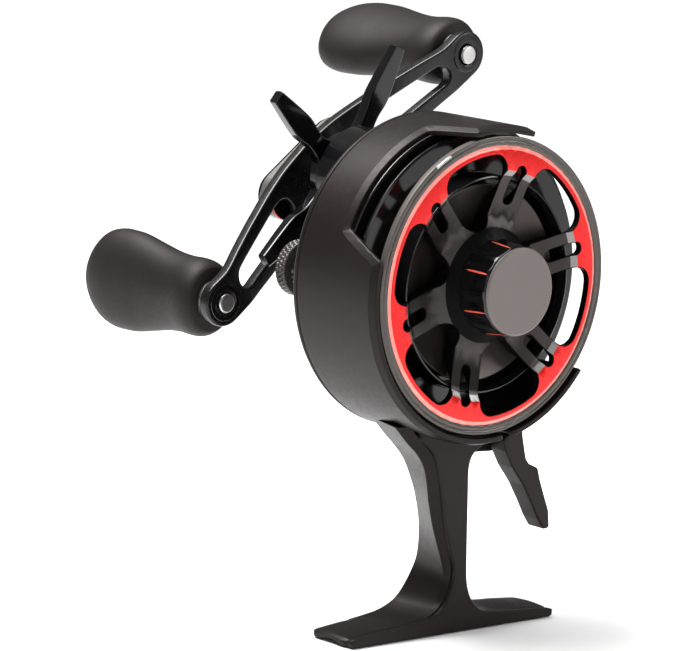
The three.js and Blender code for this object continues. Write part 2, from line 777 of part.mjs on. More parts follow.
const knobs = [
  { side: 'left', sign: -1, roll: 90 },
  { side: 'right', sign: 1, roll: 30 },
];
for (const { side, sign, roll } of knobs) {
  const post = new THREE.Group();
  post.position.set(sign * halfSpan, 0, 0);
  post.rotation.y = radians(crankAngle - roll);
  crank.add(post);
  const lobeBack = crankLobeFront + crankThickness;
  const seat = knobBore - 0.03;
  const collar = ring(pivotRadius + 0.03, 4.5, lobeBack + clearance, knobFront - clearance, small);
  const bush = ring(pivotRadius + 0.05, seat, knobFront + 0.2, knobFront + 12, small);
  place(`knob_post_${side}`, rod(pivotRadius, crankLobeFront - 0.6, knobEnd - 6, small), 'steel', post);
  place(`knob_collar_${side}`, collar, 'steel', post);
  place(`knob_${side}`, toGeometry(paddle()), 'rubber', post);
  place(`knob_bush_${side}`, bush, 'polymer', post);
  place(`knob_cap_${side}`, chamferedRod(seat, knobEnd - 4, knobEnd + 0.3, 0.4, small), 'gloss', post);
}

// Free-spool trigger, its pin and return spring, and the yoke that it tilts

const leverOutline = [
  [10.4, -35.2], [11.2, -37.6], [14.8, -42.8], [18.2, -48.4], [20, -51.4], [22.4, -54.4],
  [23.9, -54.8], [25, -53.2], [24.6, -50.8], [22.4, -46.4], [21, -42], [20, -40.8],
  [17.6, -39.9], [16.3, -38.2], [15.6, -35.2], [14.4, -33.9], [11.6, -33.9],
];

function triggerLever() {
  const shape = new THREE.Shape(leverOutline.map(([x, z]) => new THREE.Vector2(x, z)));
  const bore = moved(rod(triggerHinge.radius + 0.06, 0, 20, tiny), triggerHinge.x, 0, triggerHinge.z);
  return toSolid(slab(shape, triggerFront, triggerBack)).subtract(toSolid(bore));
}

class SpringPath extends THREE.Curve {
  constructor(radius, y0, y1, turns) {
    super();
    Object.assign(this, { radius, y0, y1, turns });
  }

  getPoint(t, target = new THREE.Vector3()) {
    const angle = 2 * Math.PI * this.turns * t;
    const y = this.y0 + (this.y1 - this.y0) * t;
    return target.set(this.radius * Math.cos(angle), y, this.radius * Math.sin(angle));
  }
}

const springTurns = 3;
const wireRadius = 0.25;

function springCoil() {
  const wire = new THREE.Shape();
  wire.absarc(0, 0, wireRadius, 0, 2 * Math.PI, false);
  const extrudePath = new SpringPath(1.9, 14.5, 17, springTurns);
  const steps = 10 * springTurns;
  return new THREE.ExtrudeGeometry(wire, { steps, extrudePath, curveSegments: 3, bevelEnabled: false });
}

place('trigger_lever', toGeometry(triggerLever()), 'casting');
const triggerPin = rod(triggerHinge.radius, triggerFront - 0.4, 17.6, tiny);
place('trigger_pin', moved(triggerPin, triggerHinge.x, 0, triggerHinge.z), 'steel');
place('trigger_spring', moved(springCoil(), triggerHinge.x, 0, triggerHinge.z), 'steel');

function yokePlate() {
  const half = 5.6;
  const top = 4;
  const bottom = -22;
  const gap = neckRadius + 0.15;
  const shape = new THREE.Shape();
  shape.moveTo(-half, top);
  shape.lineTo(-half, bottom);
  shape.lineTo(half, bottom);
  shape.lineTo(half, top);
  shape.lineTo(gap, top);
  shape.lineTo(gap, 0);
  shape.absarc(0, 0, gap, 0, Math.PI, true);
  shape.lineTo(-gap, top);
  return slab(shape, neckFront + 0.4, neckFront + 1.4);
}

place('clutch_yoke', yokePlate(), 'steel');

// Clicker: a knurled knob behind the cover turns a pawl inside it

const knurlCount = 30;
const knurlFront = 36.9;
const knurlBack = 40.1;
const knurlTip = 6.15;
const knurlRoot = 5.75;

function clickKnob() {
  const points = [];
  for (let i = 0; i < knurlCount * 2; i += 1) {
    points.push(polar(i % 2 ? knurlRoot : knurlTip, 180 * i / knurlCount));
  }
  const grip = toSolid(slab(new THREE.Shape(points), knurlFront, knurlBack));
  return grip.add(toSolid(rod(1.5, coverFront - 1.2, knurlFront + 1, tiny)));
}

function clickPawl() {
  const reach = 8;
  const tipHalf = 0.6;
  const shape = new THREE.Shape();
  shape.absarc(0, 0, 2.8, Math.PI / 2, Math.PI * 1.5, false);
  shape.lineTo(reach, -tipHalf);
  shape.lineTo(reach, tipHalf);
  return slab(shape, gearBack, coverFront - 1.3);
}

place('click_knob', moved(toGeometry(clickKnob()), clickX, 0, clickZ), 'machined');
place('click_pawl', moved(clickPawl(), clickX, 0, clickZ), 'steel');

export default part;
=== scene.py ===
"""Looks for an inline ice-fishing reel: ported spool, brake dial, star drag and double-paddle crank.

Shapes are written in millimetres in the spool's own frame: x along the foot, y back from the front
plane of the spool rim, z up from the spool axis. at() turns them into the CAD's frame in metres.
"""

import json
import math

import bmesh
import bpy
import numpy as np
from mathutils import Matrix, Vector
from mathutils.geometry import delaunay_2d_cdt


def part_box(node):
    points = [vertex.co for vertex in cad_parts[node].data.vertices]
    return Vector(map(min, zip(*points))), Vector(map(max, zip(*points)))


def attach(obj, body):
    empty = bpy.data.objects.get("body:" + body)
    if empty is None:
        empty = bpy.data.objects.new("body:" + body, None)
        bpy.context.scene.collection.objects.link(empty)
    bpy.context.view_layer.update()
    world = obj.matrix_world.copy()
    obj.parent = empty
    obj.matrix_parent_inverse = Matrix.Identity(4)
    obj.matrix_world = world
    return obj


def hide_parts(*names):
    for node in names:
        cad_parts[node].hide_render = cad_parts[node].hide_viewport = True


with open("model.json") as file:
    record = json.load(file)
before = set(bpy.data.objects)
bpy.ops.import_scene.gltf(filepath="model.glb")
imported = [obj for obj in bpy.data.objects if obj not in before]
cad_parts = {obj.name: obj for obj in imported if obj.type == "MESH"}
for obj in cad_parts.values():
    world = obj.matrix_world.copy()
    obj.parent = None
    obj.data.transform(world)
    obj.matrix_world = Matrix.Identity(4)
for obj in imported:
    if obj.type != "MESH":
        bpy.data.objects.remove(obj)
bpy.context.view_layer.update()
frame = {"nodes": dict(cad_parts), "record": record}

MM = 0.001
TAU = 2 * math.pi
QUARTER = math.pi / 2


def middle(node):
    low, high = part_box(node)
    return (low + high) / 2


# Driving places, all read from the frame
rim_low, rim_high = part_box("spool_front_flange")
AXIS = Vector(((rim_low.x + rim_high.x) / 2, rim_low.y, (rim_low.z + rim_high.z) / 2))
RIM = (rim_high.x - rim_low.x) / 2 / MM


def local(point):
    return (point - AXIS) / MM


def at(x, y, z):
    return AXIS + Vector((x, y, z)) * MM


drive = local(middle("handle_shaft"))
left_post = local(middle("knob_post_left"))
right_post = local(middle("knob_post_right"))
post_span = right_post - left_post
CRANK_ANGLE = math.atan2(post_span.z, post_span.x)
HALF_SPAN = math.hypot(post_span.x, post_span.z) / 2
hinge = local(middle("trigger_pin"))
click = local(middle("click_knob"))
CASE = local(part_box("rear_cover")[1]).x
FLOOR = local(Vector((0, 0, 0))).z
DRIVE_UP = drive.z

# Depths along the spool axis
LIP = -0.5
CASE_FRONT = 11.4
CASE_BACK = 23.8
COVER_BACK = 27.2
BOSS_BACK = 46.0
DIAL_FACE = -8.1

WELD = 2e-7  # metres within which two vertices are one
FACE_WEIGHT = 80  # pull of large faces on the weighted normals
CORNER_SHARE = 0.45  # of a side, the most that one rounded corner may take
BEVEL_STEPS = 3
WALL_CREASE = 42  # degrees between faces of a plate's edge that stay sharp


# ---------------------------------------------------------------- mesh helpers


def add(name, data):
    """Puts a mesh, lamp or camera in the scene."""
    made = bpy.data.objects.new(name, data)
    bpy.context.scene.collection.objects.link(made)
    return made


def finish_mesh(name, bm, materials, body, node=None, weighted=True):
    """Turns a bmesh into a piece that rides a body and stands for the given CAD node, if any."""
    bmesh.ops.remove_doubles(bm, verts=bm.verts, dist=WELD)
    bmesh.ops.recalc_face_normals(bm, faces=bm.faces)
    mesh = bpy.data.meshes.new(name)
    bm.to_mesh(mesh)
    bm.free()
    for material in materials if isinstance(materials, (list, tuple)) else [materials]:
        mesh.materials.append(material)
    piece = add(name, mesh)
    if weighted:
        modifier = piece.modifiers.new("weighted", "WEIGHTED_NORMAL")
        modifier.keep_sharp = True
        modifier.weight = FACE_WEIGHT
    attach(piece, body)
    if node:
        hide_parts(node)


def sharpen(bm, angle):
    """Smooths every face and marks the edges that fold by more than so many degrees."""
    for face in bm.faces:
        face.smooth = True
    limit = math.radians(angle)
    for edge in bm.edges:
        if len(edge.link_faces) == 2 and edge.calc_face_angle(0) > limit:
            edge.smooth = False


def fillet(points, radius, steps=3, closed=False, least=12):
    """Rounds the corners of a polyline of 2-D points, where it turns by at least so many degrees."""
    result = []
    count = len(points)
    for i, p in enumerate(points):
        if not closed and i in (0, count - 1):
            result.append(tuple(p))
            continue
        here = Vector(p)
        before = Vector(points[i - 1]) - here
        after = Vector(points[(i + 1) % count]) - here
        if before.length < 1e-9 or after.length < 1e-9:
            continue
        turn = math.pi - before.angle(after)
        if turn < math.radians(least):
            result.append(tuple(p))
            continue
        cut = min(radius * math.tan(turn / 2), before.length * CORNER_SHARE, after.length * CORNER_SHARE)
        start = here + before.normalized() * cut
        end = here + after.normalized() * cut
        for k in range(steps + 1):
            t = k / steps
            bend = start * (1 - t) ** 2 + here * 2 * t * (1 - t) + end * t * t
            result.append((bend.x, bend.y))
    return result


def lathe(profile, segments=96, centre=(0, 0), closed=False, soft=0.25, shape=None):
    """A turned body from (radius, depth) points. shape(angle, radius, depth) may change a radius."""
    bm = bmesh.new()
    outline = fillet(profile, soft, closed=closed) if soft else profile
    rings = []
    for radius, depth in outline:
        if radius < 1e-6:
            rings.append([bm.verts.new(at(centre[0], depth, centre[1]))] * segments)
            continue
        ring = []
        for k in range(segments):
            angle = TAU * k / segments
            r = shape(angle, radius, depth) if shape else radius
            place = at(centre[0] + r * math.cos(angle), depth, centre[1] + r * math.sin(angle))
            ring.append(bm.verts.new(place))
        rings.append(ring)
    pairs = list(zip(rings, rings[1:]))
    if closed:
        pairs.append((rings[-1], rings[0]))
    for low, high in pairs:
        for k in range(segments):
            n = (k + 1) % segments
            corners = [low[k], low[n], high[n], high[k]]
            unique = [v for i, v in enumerate(corners) if v not in corners[:i]]
            if len(unique) > 2:
                bm.faces.new(unique)
    return bm


def turned(name, profile, material, body, node=None, slot=None, angle=32, **options):
    """A turned piece. The options go to lathe()."""
    bm = lathe(profile, **options)
    sharpen(bm, angle)
    finish_mesh(name, bm, material, body, node)


def circle(radius, count=96, centre=(0, 0)):
    angles = [TAU * k / count for k in range(count)]
    return [(centre[0] + radius * math.cos(a), centre[1] + radius * math.sin(a)) for a in angles]


def arc(centre, radius, start, end, count):
    angles = np.linspace(start, end, count)
    return [(centre[0] + radius * math.cos(a), centre[1] + radius * math.sin(a)) for a in angles]


def rotate(points, angle):
    c, s = math.cos(angle), math.sin(angle)
    return [(x * c - y * s, x * s + y * c) for x, y in points]


def offset_loop(loop, distance, scale=None):
    """Moves a closed loop to its left by a distance, with mitred corners.

    scale(points) multiplies the distance at each point.
    """
    points = np.array(loop, float)
    ahead = np.roll(points, -1, 0) - points
    ahead /= np.linalg.norm(ahead, axis=1)[:, None] + 1e-12
    behind = np.roll(ahead, 1, 0)
    left = np.stack([-ahead[:, 1], ahead[:, 0]], 1)
    left_behind = np.stack([-behind[:, 1], behind[:, 0]], 1)
    normal = left + left_behind
    normal /= np.linalg.norm(normal, axis=1)[:, None] + 1e-12
    miter = np.clip((normal * left).sum(1), 0.5, 1)
    size = scale(points) if scale else 1.0
    return points + normal * (distance * size / miter)[:, None]


def inside(points, loop):
    """Which points lie inside a closed loop."""
    points = np.asarray(points, float)
    loop = np.asarray(loop, float)
    result = np.zeros(len(points), bool)
    x, y = points[:, 0], points[:, 1]
    for (x0, y0), (x1, y1) in zip(loop, np.roll(loop, -1, 0)):
        if y0 == y1:
            continue
        crosses = (y0 > y) != (y1 > y)
        result ^= crosses & (x < (x1 - x0) * (y - y0) / (y1 - y0) + x0)
    return result


def chains(edges):
    """Closed chains of directed edges."""
    follow = {a: b for a, b in edges}
    result = []
    while follow:
        first, step = next(iter(follow.items()))
        chain = [first]
        del follow[first]
        while step != first and step in follow:
            chain.append(step)
            step = follow.pop(step)
        result.append(chain)
    return result


def triangulate(loops, guides):
    """Points and triangles of the region in the first loop and out of the others, cut along the guides."""
    verts, edges = [], []
    for loop, closed in [(loop, True) for loop in loops] + list(guides):
        base = len(verts)
        verts += [Vector((float(p[0]), float(p[1]))) for p in loop]
        edges += [(base + i, base + i + 1) for i in range(len(loop) - 1)]
        if closed:
            edges.append((base + len(loop) - 1, base))
    points, _, faces, *_ = delaunay_2d_cdt(verts, edges, [], 0, 1e-5)
    points = np.array([(p.x, p.y) for p in points])
    faces = [f for f in faces if len(f) == 3]
    centres = np.array([points[list(f)].mean(0) for f in faces])
    keep = inside(centres, loops[0])
    for loop in loops[1:]:
        keep &= ~inside(centres, loop)
    triangles = []
    for f, kept in zip(faces, keep):
        a, b, c = (points[i] for i in f)
        area = (b[0] - a[0]) * (c[1] - a[1]) - (b[1] - a[1]) * (c[0] - a[0])
        if kept and abs(area) > 1e-9:
            triangles.append(tuple(f) if area > 0 else (f[0], f[2], f[1]))
    return points, triangles


def wall_rows(bm, loop, front, back, bevel, scale):
    """Rows of vertices down a plate's edge, rounded at the front and at the back."""
    rows, back_rows = [], []
    for k in range(1, BEVEL_STEPS + 1):
        angle = QUARTER * k / BEVEL_STEPS
        row, back_row = [], []
        for u, v in offset_loop(loop, -bevel * math.sin(angle), scale):
            f, b = np.array(front(u, v)), np.array(back(u, v))
            depth = b - f
            share = min(0.5, bevel * (1 - math.cos(angle)) / max(1e-6, np.linalg.norm(depth)))
            row.append(bm.verts.new(at(*(f + depth * share))))
            back_row.append(bm.verts.new(at(*(b - depth * share))))
        rows.append(row)
        back_rows.append(back_row)
    return rows + back_rows[::-1]


def mark_folds(bm, on_side, places, crease, seam):
    """Smooths every face of a plate and marks its sharp edges."""
    for face in bm.faces:
        face.smooth = True
    for edge in bm.edges:
        if len(edge.link_faces) != 2:
            continue
        flat = all(f[on_side] for f in edge.link_faces)
        if flat and seam:
            a, b = (places[v] for v in edge.verts)
            edge.smooth = not (seam(*a) and seam(*b))
        elif edge.calc_face_angle(0) > math.radians(crease if flat else WALL_CREASE):
            edge.smooth = False


def panel(
    outer, holes, front, back, bevel=0.3, guides=(), scale=None, crease=9, paint=None, wall_index=0, seam=None
):
    """A plate with rounded edges.

    Loops run counter-clockwise in (u, v), and front and back map (u, v) to millimetres. guides are extra
    lines, as (points, closed), that the faces follow. paint(u, v) picks a material index. seam(u, v) says
    where a sharp fold runs. Without it, folds above crease degrees are sharp.
    """
    inset = [offset_loop(outer, bevel, scale)] + [offset_loop(h, -bevel, scale) for h in holes]
    points, triangles = triangulate(inset, guides)
    directed = {(t[i], t[(i + 1) % 3]) for t in triangles for i in range(3)}
    border = chains([e for e in directed if (e[1], e[0]) not in directed])
    bm = bmesh.new()
    on_side = bm.faces.layers.int.new("side")
    tops, bottoms = {}, {}
    for i in sorted({i for t in triangles for i in t}):
        tops[i] = bm.verts.new(at(*front(*points[i])))
        bottoms[i] = bm.verts.new(at(*back(*points[i])))
    for t in triangles:
        index = paint(*points[list(t)].mean(0)) if paint else 0
        for corners in ([tops[i] for i in t], [bottoms[i] for i in reversed(t)]):
            face = bm.faces.new(corners)
            face[on_side] = 1
            face.material_index = index
    for chain in border:
        sheet = [[tops[i] for i in chain]]
        sheet += wall_rows(bm, points[chain], front, back, bevel, scale)
        sheet.append([bottoms[i] for i in chain])
        count = len(chain)
        for low, high in zip(sheet, sheet[1:]):
            for k in range(count):
                n = (k + 1) % count
                bm.faces.new([low[n], low[k], high[k], high[n]]).material_index = wall_index
    places = {v: points[i] for side in (tops, bottoms) for i, v in side.items()}
    mark_folds(bm, on_side, places, crease, seam)
    bm.faces.layers.int.remove(on_side)
    return bm


def smooth_path(points, count):
    """Points of a smooth curve through the given tuples, evenly spread in their index."""
    table = np.array(points, float)
    result = []
    for k in range(count + 1):
        t = (len(table) - 1) * k / count
        i = min(int(t), len(table) - 2)
        f = t - i
        p0 = table[max(i - 1, 0)]
        p1, p2 = table[i], table[i + 1]
        p3 = table[min(i + 2, len(table) - 1)]
        bend = 2 * p0 - 5 * p1 + 4 * p2 - p3
        twist = 3 * p1 - p0 - 3 * p2 + p3
        result.append(0.5 * (2 * p1 + (p2 - p0) * f + bend * f * f + twist * f**3))
    return result


def loft(sections):
    """A closed skin through rings of points with equal counts, in millimetres."""
    bm = bmesh.new()
    rings = [[bm.verts.new(at(*p)) for p in ring] for ring in sections]
    for low, high in zip(rings, rings[1:]):
        for k in range(len(low)):
            n = (k + 1) % len(low)
            bm.faces.new([low[k], low[n], high[n], high[k]])
    bm.faces.new(rings[0][::-1])
    bm.faces.new(rings[-1])
    return bm


# ---------------------------------------------------------------- materials


class Look:
    """A Principled material and the nodes that feed it."""

    def __init__(self, name, color, roughness, metallic=0.0, **sockets):
        self.material = bpy.data.materials.new(name)
        self.material.use_nodes = True
        self.tree = self.material.node_tree
        self.shader = self.tree.nodes["Principled BSDF"]
        self.set("Base Color", (*color, 1))
        self.set("Roughness", roughness)
        self.set("Metallic", metallic)
        for socket, value in sockets.items():
            self.set(socket.replace("_", " "), value)
        self.color = color
        self.coordinates = self.tree.nodes.new("ShaderNodeTexCoord").outputs["Object"]
        self.height = None

    def set(self, socket, value):
        self.shader.inputs[socket].default_value = value

    def node(self, kind, **values):
        made = self.tree.nodes.new(kind)
        for key, value in values.items():
            setattr(made, key, value)
        return made

    def link(self, source, target):
        self.tree.links.new(source, target)

    def noise(self, scale, detail=3.0, stretch=None):
        made = self.node("ShaderNodeTexNoise")
        made.inputs["Scale"].default_value = scale
        made.inputs["Detail"].default_value = detail
        if stretch:
            mapping = self.node("ShaderNodeMapping")
            mapping.inputs["Scale"].default_value = stretch
            self.link(self.coordinates, mapping.inputs["Vector"])
            self.link(mapping.outputs["Vector"], made.inputs["Vector"])
        else:
            self.link(self.coordinates, made.inputs["Vector"])
        return made.outputs["Fac"]

    def rings(self, centre, pitch):
        """Turned lines round the Y axis through centre, a pitch apart in millimetres."""
        mapping = self.node("ShaderNodeMapping")
        mapping.inputs["Location"].default_value = -at(*centre)
        self.link(self.coordinates, mapping.inputs["Vector"])
        made = self.node("ShaderNodeTexWave", wave_type="RINGS", rings_direction="Y")
        made.inputs["Scale"].default_value = TAU / (20 * pitch * MM)
        made.inputs["Distortion"].default_value = 0.6
        made.inputs["Detail"].default_value = 2.0
        made.inputs["Detail Scale"].default_value = 3.0
        self.link(mapping.outputs["Vector"], made.inputs["Vector"])
        return made.outputs["Fac"]

    def turned_sheen(self, amount):
        """Stretches highlights across turned lines round the Y axis."""
        self.set("Anisotropic", amount)
        tangent = self.node("ShaderNodeTangent", direction_type="RADIAL", axis="Y")
        self.link(tangent.outputs["Tangent"], self.shader.inputs["Tangent"])
        return self

    def span(self, factor, low, high):
        """Spreads the middle half of a noise over low to high."""
        made = self.node("ShaderNodeMapRange")
        made.inputs["To Min"].default_value = low
        made.inputs["To Max"].default_value = high
        made.inputs["From Min"].default_value = 0.25
        made.inputs["From Max"].default_value = 0.75
        self.link(factor, made.inputs["Value"])
        return made.outputs["Result"]

    def vary_roughness(self, factor, low, high):
        self.link(self.span(factor, low, high), self.shader.inputs["Roughness"])
        return self

    def vary_color(self, factor, other):
        made = self.node("ShaderNodeMix", data_type="RGBA")
        made.inputs["A"].default_value = (*self.color, 1)
        made.inputs["B"].default_value = (*other, 1)
        self.link(self.span(factor, 0, 1), made.inputs["Factor"])
        self.link(made.outputs["Result"], self.shader.inputs["Base Color"])
        return self

    def bump(self, factor, strength, distance):
        made = self.node("ShaderNodeBump")
        made.inputs["Strength"].default_value = strength
        made.inputs["Distance"].default_value = distance * MM
        self.link(factor, made.inputs["Height"])
        if self.height:
            self.link(self.height, made.inputs["Normal"])
        self.height = made.outputs["Normal"]
        self.link(self.height, self.shader.inputs["Normal"])
        return self


WARM = (1.0, 0.89, 0.87, 1.0)  # tint of the dark coatings' sheen


def grained(name, color, other, roughness, worn, grain, relief, metallic=0.0, **sockets):
    """A look whose color, roughness and height follow three noises, each (scale, detail, stretch)."""
    look = Look(name, color, roughness, metallic, **sockets)
    of_color, of_roughness, of_height = grain
    look.vary_color(look.noise(*of_color), other)
    look.vary_roughness(look.noise(*of_roughness), *worn)
    look.bump(look.noise(*of_height), *relief)
    return look.material


def red_anodise():
    look = Look("red_anodised", (0.7, 0.005, 0.004), 0.27, 0.5, Specular_IOR_Level=0.55)
    look.vary_color(look.noise(140), (0.62, 0.0042, 0.0034))
    look.vary_roughness(look.noise(120, 2), 0.26, 0.29)
    look.bump(look.rings((0, 0, 0), 0.22), 0.03, 0.01)
    look.turned_sheen(0.7)
    return look.material


def machined(
    name, color, other, centre=(0, 0, 0), pitch=0.25, strength=0.16, roughness=(0.26, 0.4), metallic=0.45,
    sheen=0.6,
):
    """Metal with turned lines round centre. With no strength its height follows a fine noise instead."""
    look = Look(name, color, 0.33, metallic)
    lines = look.rings(centre, pitch)
    look.vary_color(look.noise(120), other)
    look.vary_roughness(lines, *roughness)
    if strength:
        look.bump(lines, strength, 0.012)
    else:
        look.bump(look.noise(1800, 2), 0.03, 0.004)
    if sheen:
        look.turned_sheen(sheen)
    return look.material


SATIN = grained(
    "satin_black", (0.0068, 0.0048, 0.0045), (0.0085, 0.0061, 0.0058), 0.4, (0.35, 0.45),
    ((60,), (900, 4), (3200, 2)), (0.08, 0.02), Specular_IOR_Level=0.16, Specular_Tint=WARM,
)
GLOSS = grained(
    "gloss_black", (0.0025, 0.0026, 0.003), (0.0036, 0.0036, 0.004), 0.1, (0.08, 0.15),
    ((80,), (500,), (400, 2)), (0.03, 0.02), Specular_IOR_Level=0.42,
)
SEMI = grained(
    "semi_gloss_black", (0.004, 0.0036, 0.0036), (0.0052, 0.0046, 0.0046), 0.24, (0.2, 0.29),
    ((70,), (700, 3), (2400, 2)), (0.05, 0.015), Specular_IOR_Level=0.3,
)
# painted shade: near-black with almost no sheen, laid on the spool face's hub cone and on the walls of its
# windows, slots and bore, where they fall in shade
PAINTED_SHADE = grained(
    "painted_shade_black", (0.002, 0.0018, 0.0018), (0.0034, 0.003, 0.003), 0.34, (0.28, 0.38),
    ((80,), (500,), (900, 2)), (0.04, 0.02), Specular_IOR_Level=0.03,
)
RED = red_anodise()
RIM_METAL = machined("rim_metal", (0.078, 0.067, 0.06), (0.066, 0.057, 0.051), pitch=0.3, strength=0.06)
SPOKE_METAL = machined(
    "spoke_metal", (0.042, 0.036, 0.035), (0.036, 0.031, 0.03), strength=0, roughness=(0.32, 0.36),
    metallic=0.9, sheen=0.9,
)
BRIGHT_METAL = machined(
    "bright_metal", (0.22, 0.21, 0.205), (0.2, 0.19, 0.185), strength=0, roughness=(0.32, 0.36),
    metallic=0.75, sheen=0.7,
)
DARK_METAL = machined("dark_metal", (0.05, 0.045, 0.043), (0.042, 0.038, 0.036), pitch=0.4, strength=0.05)
DISH_METAL = machined(
    "dish_metal", (0.046, 0.037, 0.035), (0.04, 0.032, 0.03), strength=0, roughness=(0.38, 0.42),
    metallic=0.7, sheen=0.5,
)
FACE_METAL = machined(
    "dial_metal", (0.135, 0.113, 0.106), (0.124, 0.104, 0.097), strength=0, roughness=(0.42, 0.45),
    metallic=0.2, sheen=0,
)
DRIVE_METAL = machined(
    "cover_metal", (0.16, 0.145, 0.138), (0.13, 0.118, 0.112), centre=(0, 0, DRIVE_UP), pitch=0.3, sheen=0
)
STEEL = grained(
    "brushed_steel", (0.5, 0.49, 0.48), (0.43, 0.42, 0.41), 0.3, (0.26, 0.38),
    ((300,), (1500, 4, (1, 0.2, 1)), (9000, 2, (1, 0.1, 1))), (0.03, 0.005), metallic=1.0,
)
BRASS = grained(
    "cut_brass", (0.55, 0.38, 0.15), (0.46, 0.31, 0.12), 0.3, (0.22, 0.38),
    ((200,), (1200,), (2000,)), (0.08, 0.01), metallic=1.0,
)
RUBBER = grained(
    "soft_touch", (0.006, 0.0045, 0.0043), (0.0088, 0.0073, 0.0071), 0.5, (0.5, 0.62),
    ((45,), (1500, 4), (5200, 3)), (0.16, 0.02), Specular_IOR_Level=0.2, Specular_Tint=WARM,
)
PLASTIC = grained(
    "moulded_black", (0.02, 0.02, 0.02), (0.026, 0.025, 0.024), 0.5, (0.42, 0.55),
    ((200,), (900,), (3000,)), (0.12, 0.02),
)
FIBRE = grained(
    "pressed_fibre", (0.11, 0.1, 0.07), (0.06, 0.055, 0.045), 0.9, (0.8, 0.95),
    ((900, 6), (700,), (2500, 6)), (0.4, 0.05),
)
RED_PAINT = grained(
    "red_paint", (0.72, 0.075, 0.035), (0.8, 0.12, 0.07), 0.5, (0.42, 0.6),
    ((900,), (900,), (1800,)), (0.1, 0.02),
)
# painted highlight: a pale pink look for the ring on the spool face's outer chamfer, from PALE_IN to RIM_IN,
# standing in for light caught by the red chamfer
RED_CHAMFER_HIGHLIGHT = machined("red_edge_painted_highlight", (0.9, 0.3, 0.26), (0.85, 0.22, 0.18), metallic=0.6, strength=0.03)

SLOT_LOOKS = {
    "casting": SATIN,
    "anodised": RED,
    "gloss": GLOSS,
    "machined": DARK_METAL,
    "steel": STEEL,
    "brass": BRASS,
    "rubber": RUBBER,
    "fibre": FIBRE,
    "polymer": PLASTIC,
    "magnet": STEEL,
}

for entry in frame["record"]["subparts"]:
    node = frame["nodes"][entry["node"]]
    node.data.materials.clear()
    node.data.materials.append(SLOT_LOOKS[entry["material_slot"]])


# ---------------------------------------------------------------- spool

SPOKE_COUNT = 6
SPOKE_START = math.radians(15.6)
SPOKE_HALF = 4.2
HUB_OUT = 12.4
FACET_IN = 23.5
RED_IN = 24.7
PALE_IN = 29.1
RIM_IN = 29.915
WINDOW_OUT = 28.0
WINDOW_IN = 12.2
WINDOW_CORNER = 3.3
SLOT_HALF, SLOT_IN, SLOT_OUT = 1.3, 18.8, 24.7
BORE = 5.1
FLANGE_BACK = 1.65
FACE_PROFILE = [
    # radius and depth of the front face: hub cone, dished spoke, bright facet, red band and rim
    (0, -0.4), (9, -0.2), (10.4, 0.1), (HUB_OUT, 1.6), (15, 2.9), (22.3, 1.5), (FACET_IN, 1.0),
    (RED_IN, 0.05), (PALE_IN, 0.05), (29.9, 0.4), (30.0, 0.05), (30.85, 0.0), (30.95, 0.3),
    (31.15, 0.3), (31.25, 0.0), (RIM, 0.15),
]
MORE_RADII = [7, 18.5, 26.8]  # where the face needs vertices between the corners of its profile

# the hub cone and the walls of the windows, slots and bore take the near-black look, which is painted shade
FACE_LOOKS = [SPOKE_METAL, RED, RIM_METAL, PAINTED_SHADE, PAINTED_SHADE, BRIGHT_METAL, RED_CHAMFER_HIGHLIGHT]
ON_SPOKE, ON_RED, ON_RIM, ON_HUB, ON_WALL, ON_FACET, ON_HIGHLIGHT = range(len(FACE_LOOKS))


def spoke_angle(i):
    return SPOKE_START + TAU * i / SPOKE_COUNT


def window_loop(angle):
    """A window between two spokes: a round nose at the hub, sides along the spokes, round outer corners."""
    half = math.pi / SPOKE_COUNT
    nose = (WINDOW_IN - SPOKE_HALF / math.sin(half)) / (1 / math.sin(half) - 1)
    nose_centre = ((SPOKE_HALF + nose) / math.sin(half), 0)
    reach = WINDOW_OUT - WINDOW_CORNER
    lean = math.asin((SPOKE_HALF + WINDOW_CORNER) / reach)
    side = half - lean
    upper = (reach * math.cos(side), reach * math.sin(side))
    lower = (upper[0], -upper[1])
    loop = arc(nose_centre, nose, half + QUARTER, 3 * QUARTER - half, 13)
    loop += arc(lower, WINDOW_CORNER, -half - QUARTER, -side, 10)
    loop += arc((0, 0), WINDOW_OUT, -side, side, 18)[1:-1]
    loop += arc(upper, WINDOW_CORNER, side, half + QUARTER, 10)
    return rotate(loop, angle)


def slot_loop(angle):
    loop = arc((SLOT_OUT, 0), SLOT_HALF, -QUARTER, QUARTER, 9)
    loop += arc((SLOT_IN, 0), SLOT_HALF, QUARTER, 3 * QUARTER, 9)
    return rotate(loop, angle)


def spool_face():
    holes = [window_loop(spoke_angle(i) + math.pi / SPOKE_COUNT) for i in range(SPOKE_COUNT)]
    holes += [slot_loop(spoke_angle(i)) for i in range(SPOKE_COUNT)]
    holes += [circle(BORE, 48)]
    radii = [radius for radius, _ in FACE_PROFILE]
    depths = [depth for _, depth in FACE_PROFILE]
    guides = [(circle(r, 144 if r > 16 else 96), True) for r in sorted(radii[1:-1] + MORE_RADII)]

    def front(u, v):
        return u, float(np.interp(math.hypot(u, v), radii, depths)), v

    def back(u, v):
        hub = np.interp(math.hypot(u, v), [0, 9, 14, 21.6, 22.1], [3.8, 4.0, 5.4, 4.3, FLANGE_BACK])
        return u, max(FLANGE_BACK, float(hub)), v

    def paint(u, v):
        radius = math.hypot(u, v)
        # the ring from PALE_IN to RIM_IN takes the pale red look, which is a painted highlight
        for inner, index in ((RIM_IN, ON_RIM), (PALE_IN, ON_HIGHLIGHT), (RED_IN, ON_RED), (FACET_IN, ON_FACET)):
            if radius > inner:
                return index
        return ON_HUB if radius < HUB_OUT else ON_SPOKE

    bm = panel(
        circle(RIM, 144), holes, front, back, bevel=0.22, guides=guides, paint=paint, wall_index=ON_WALL,
        crease=5,
    )
    for face in bm.faces:
        spot = local(face.calc_center_median())
        if face.material_index == ON_WALL and math.hypot(spot.x, spot.z) > RIM - 1:
            face.material_index = ON_RIM
    finish_mesh("spool_face", bm, FACE_LOOKS, "spool", "spool_front_flange")


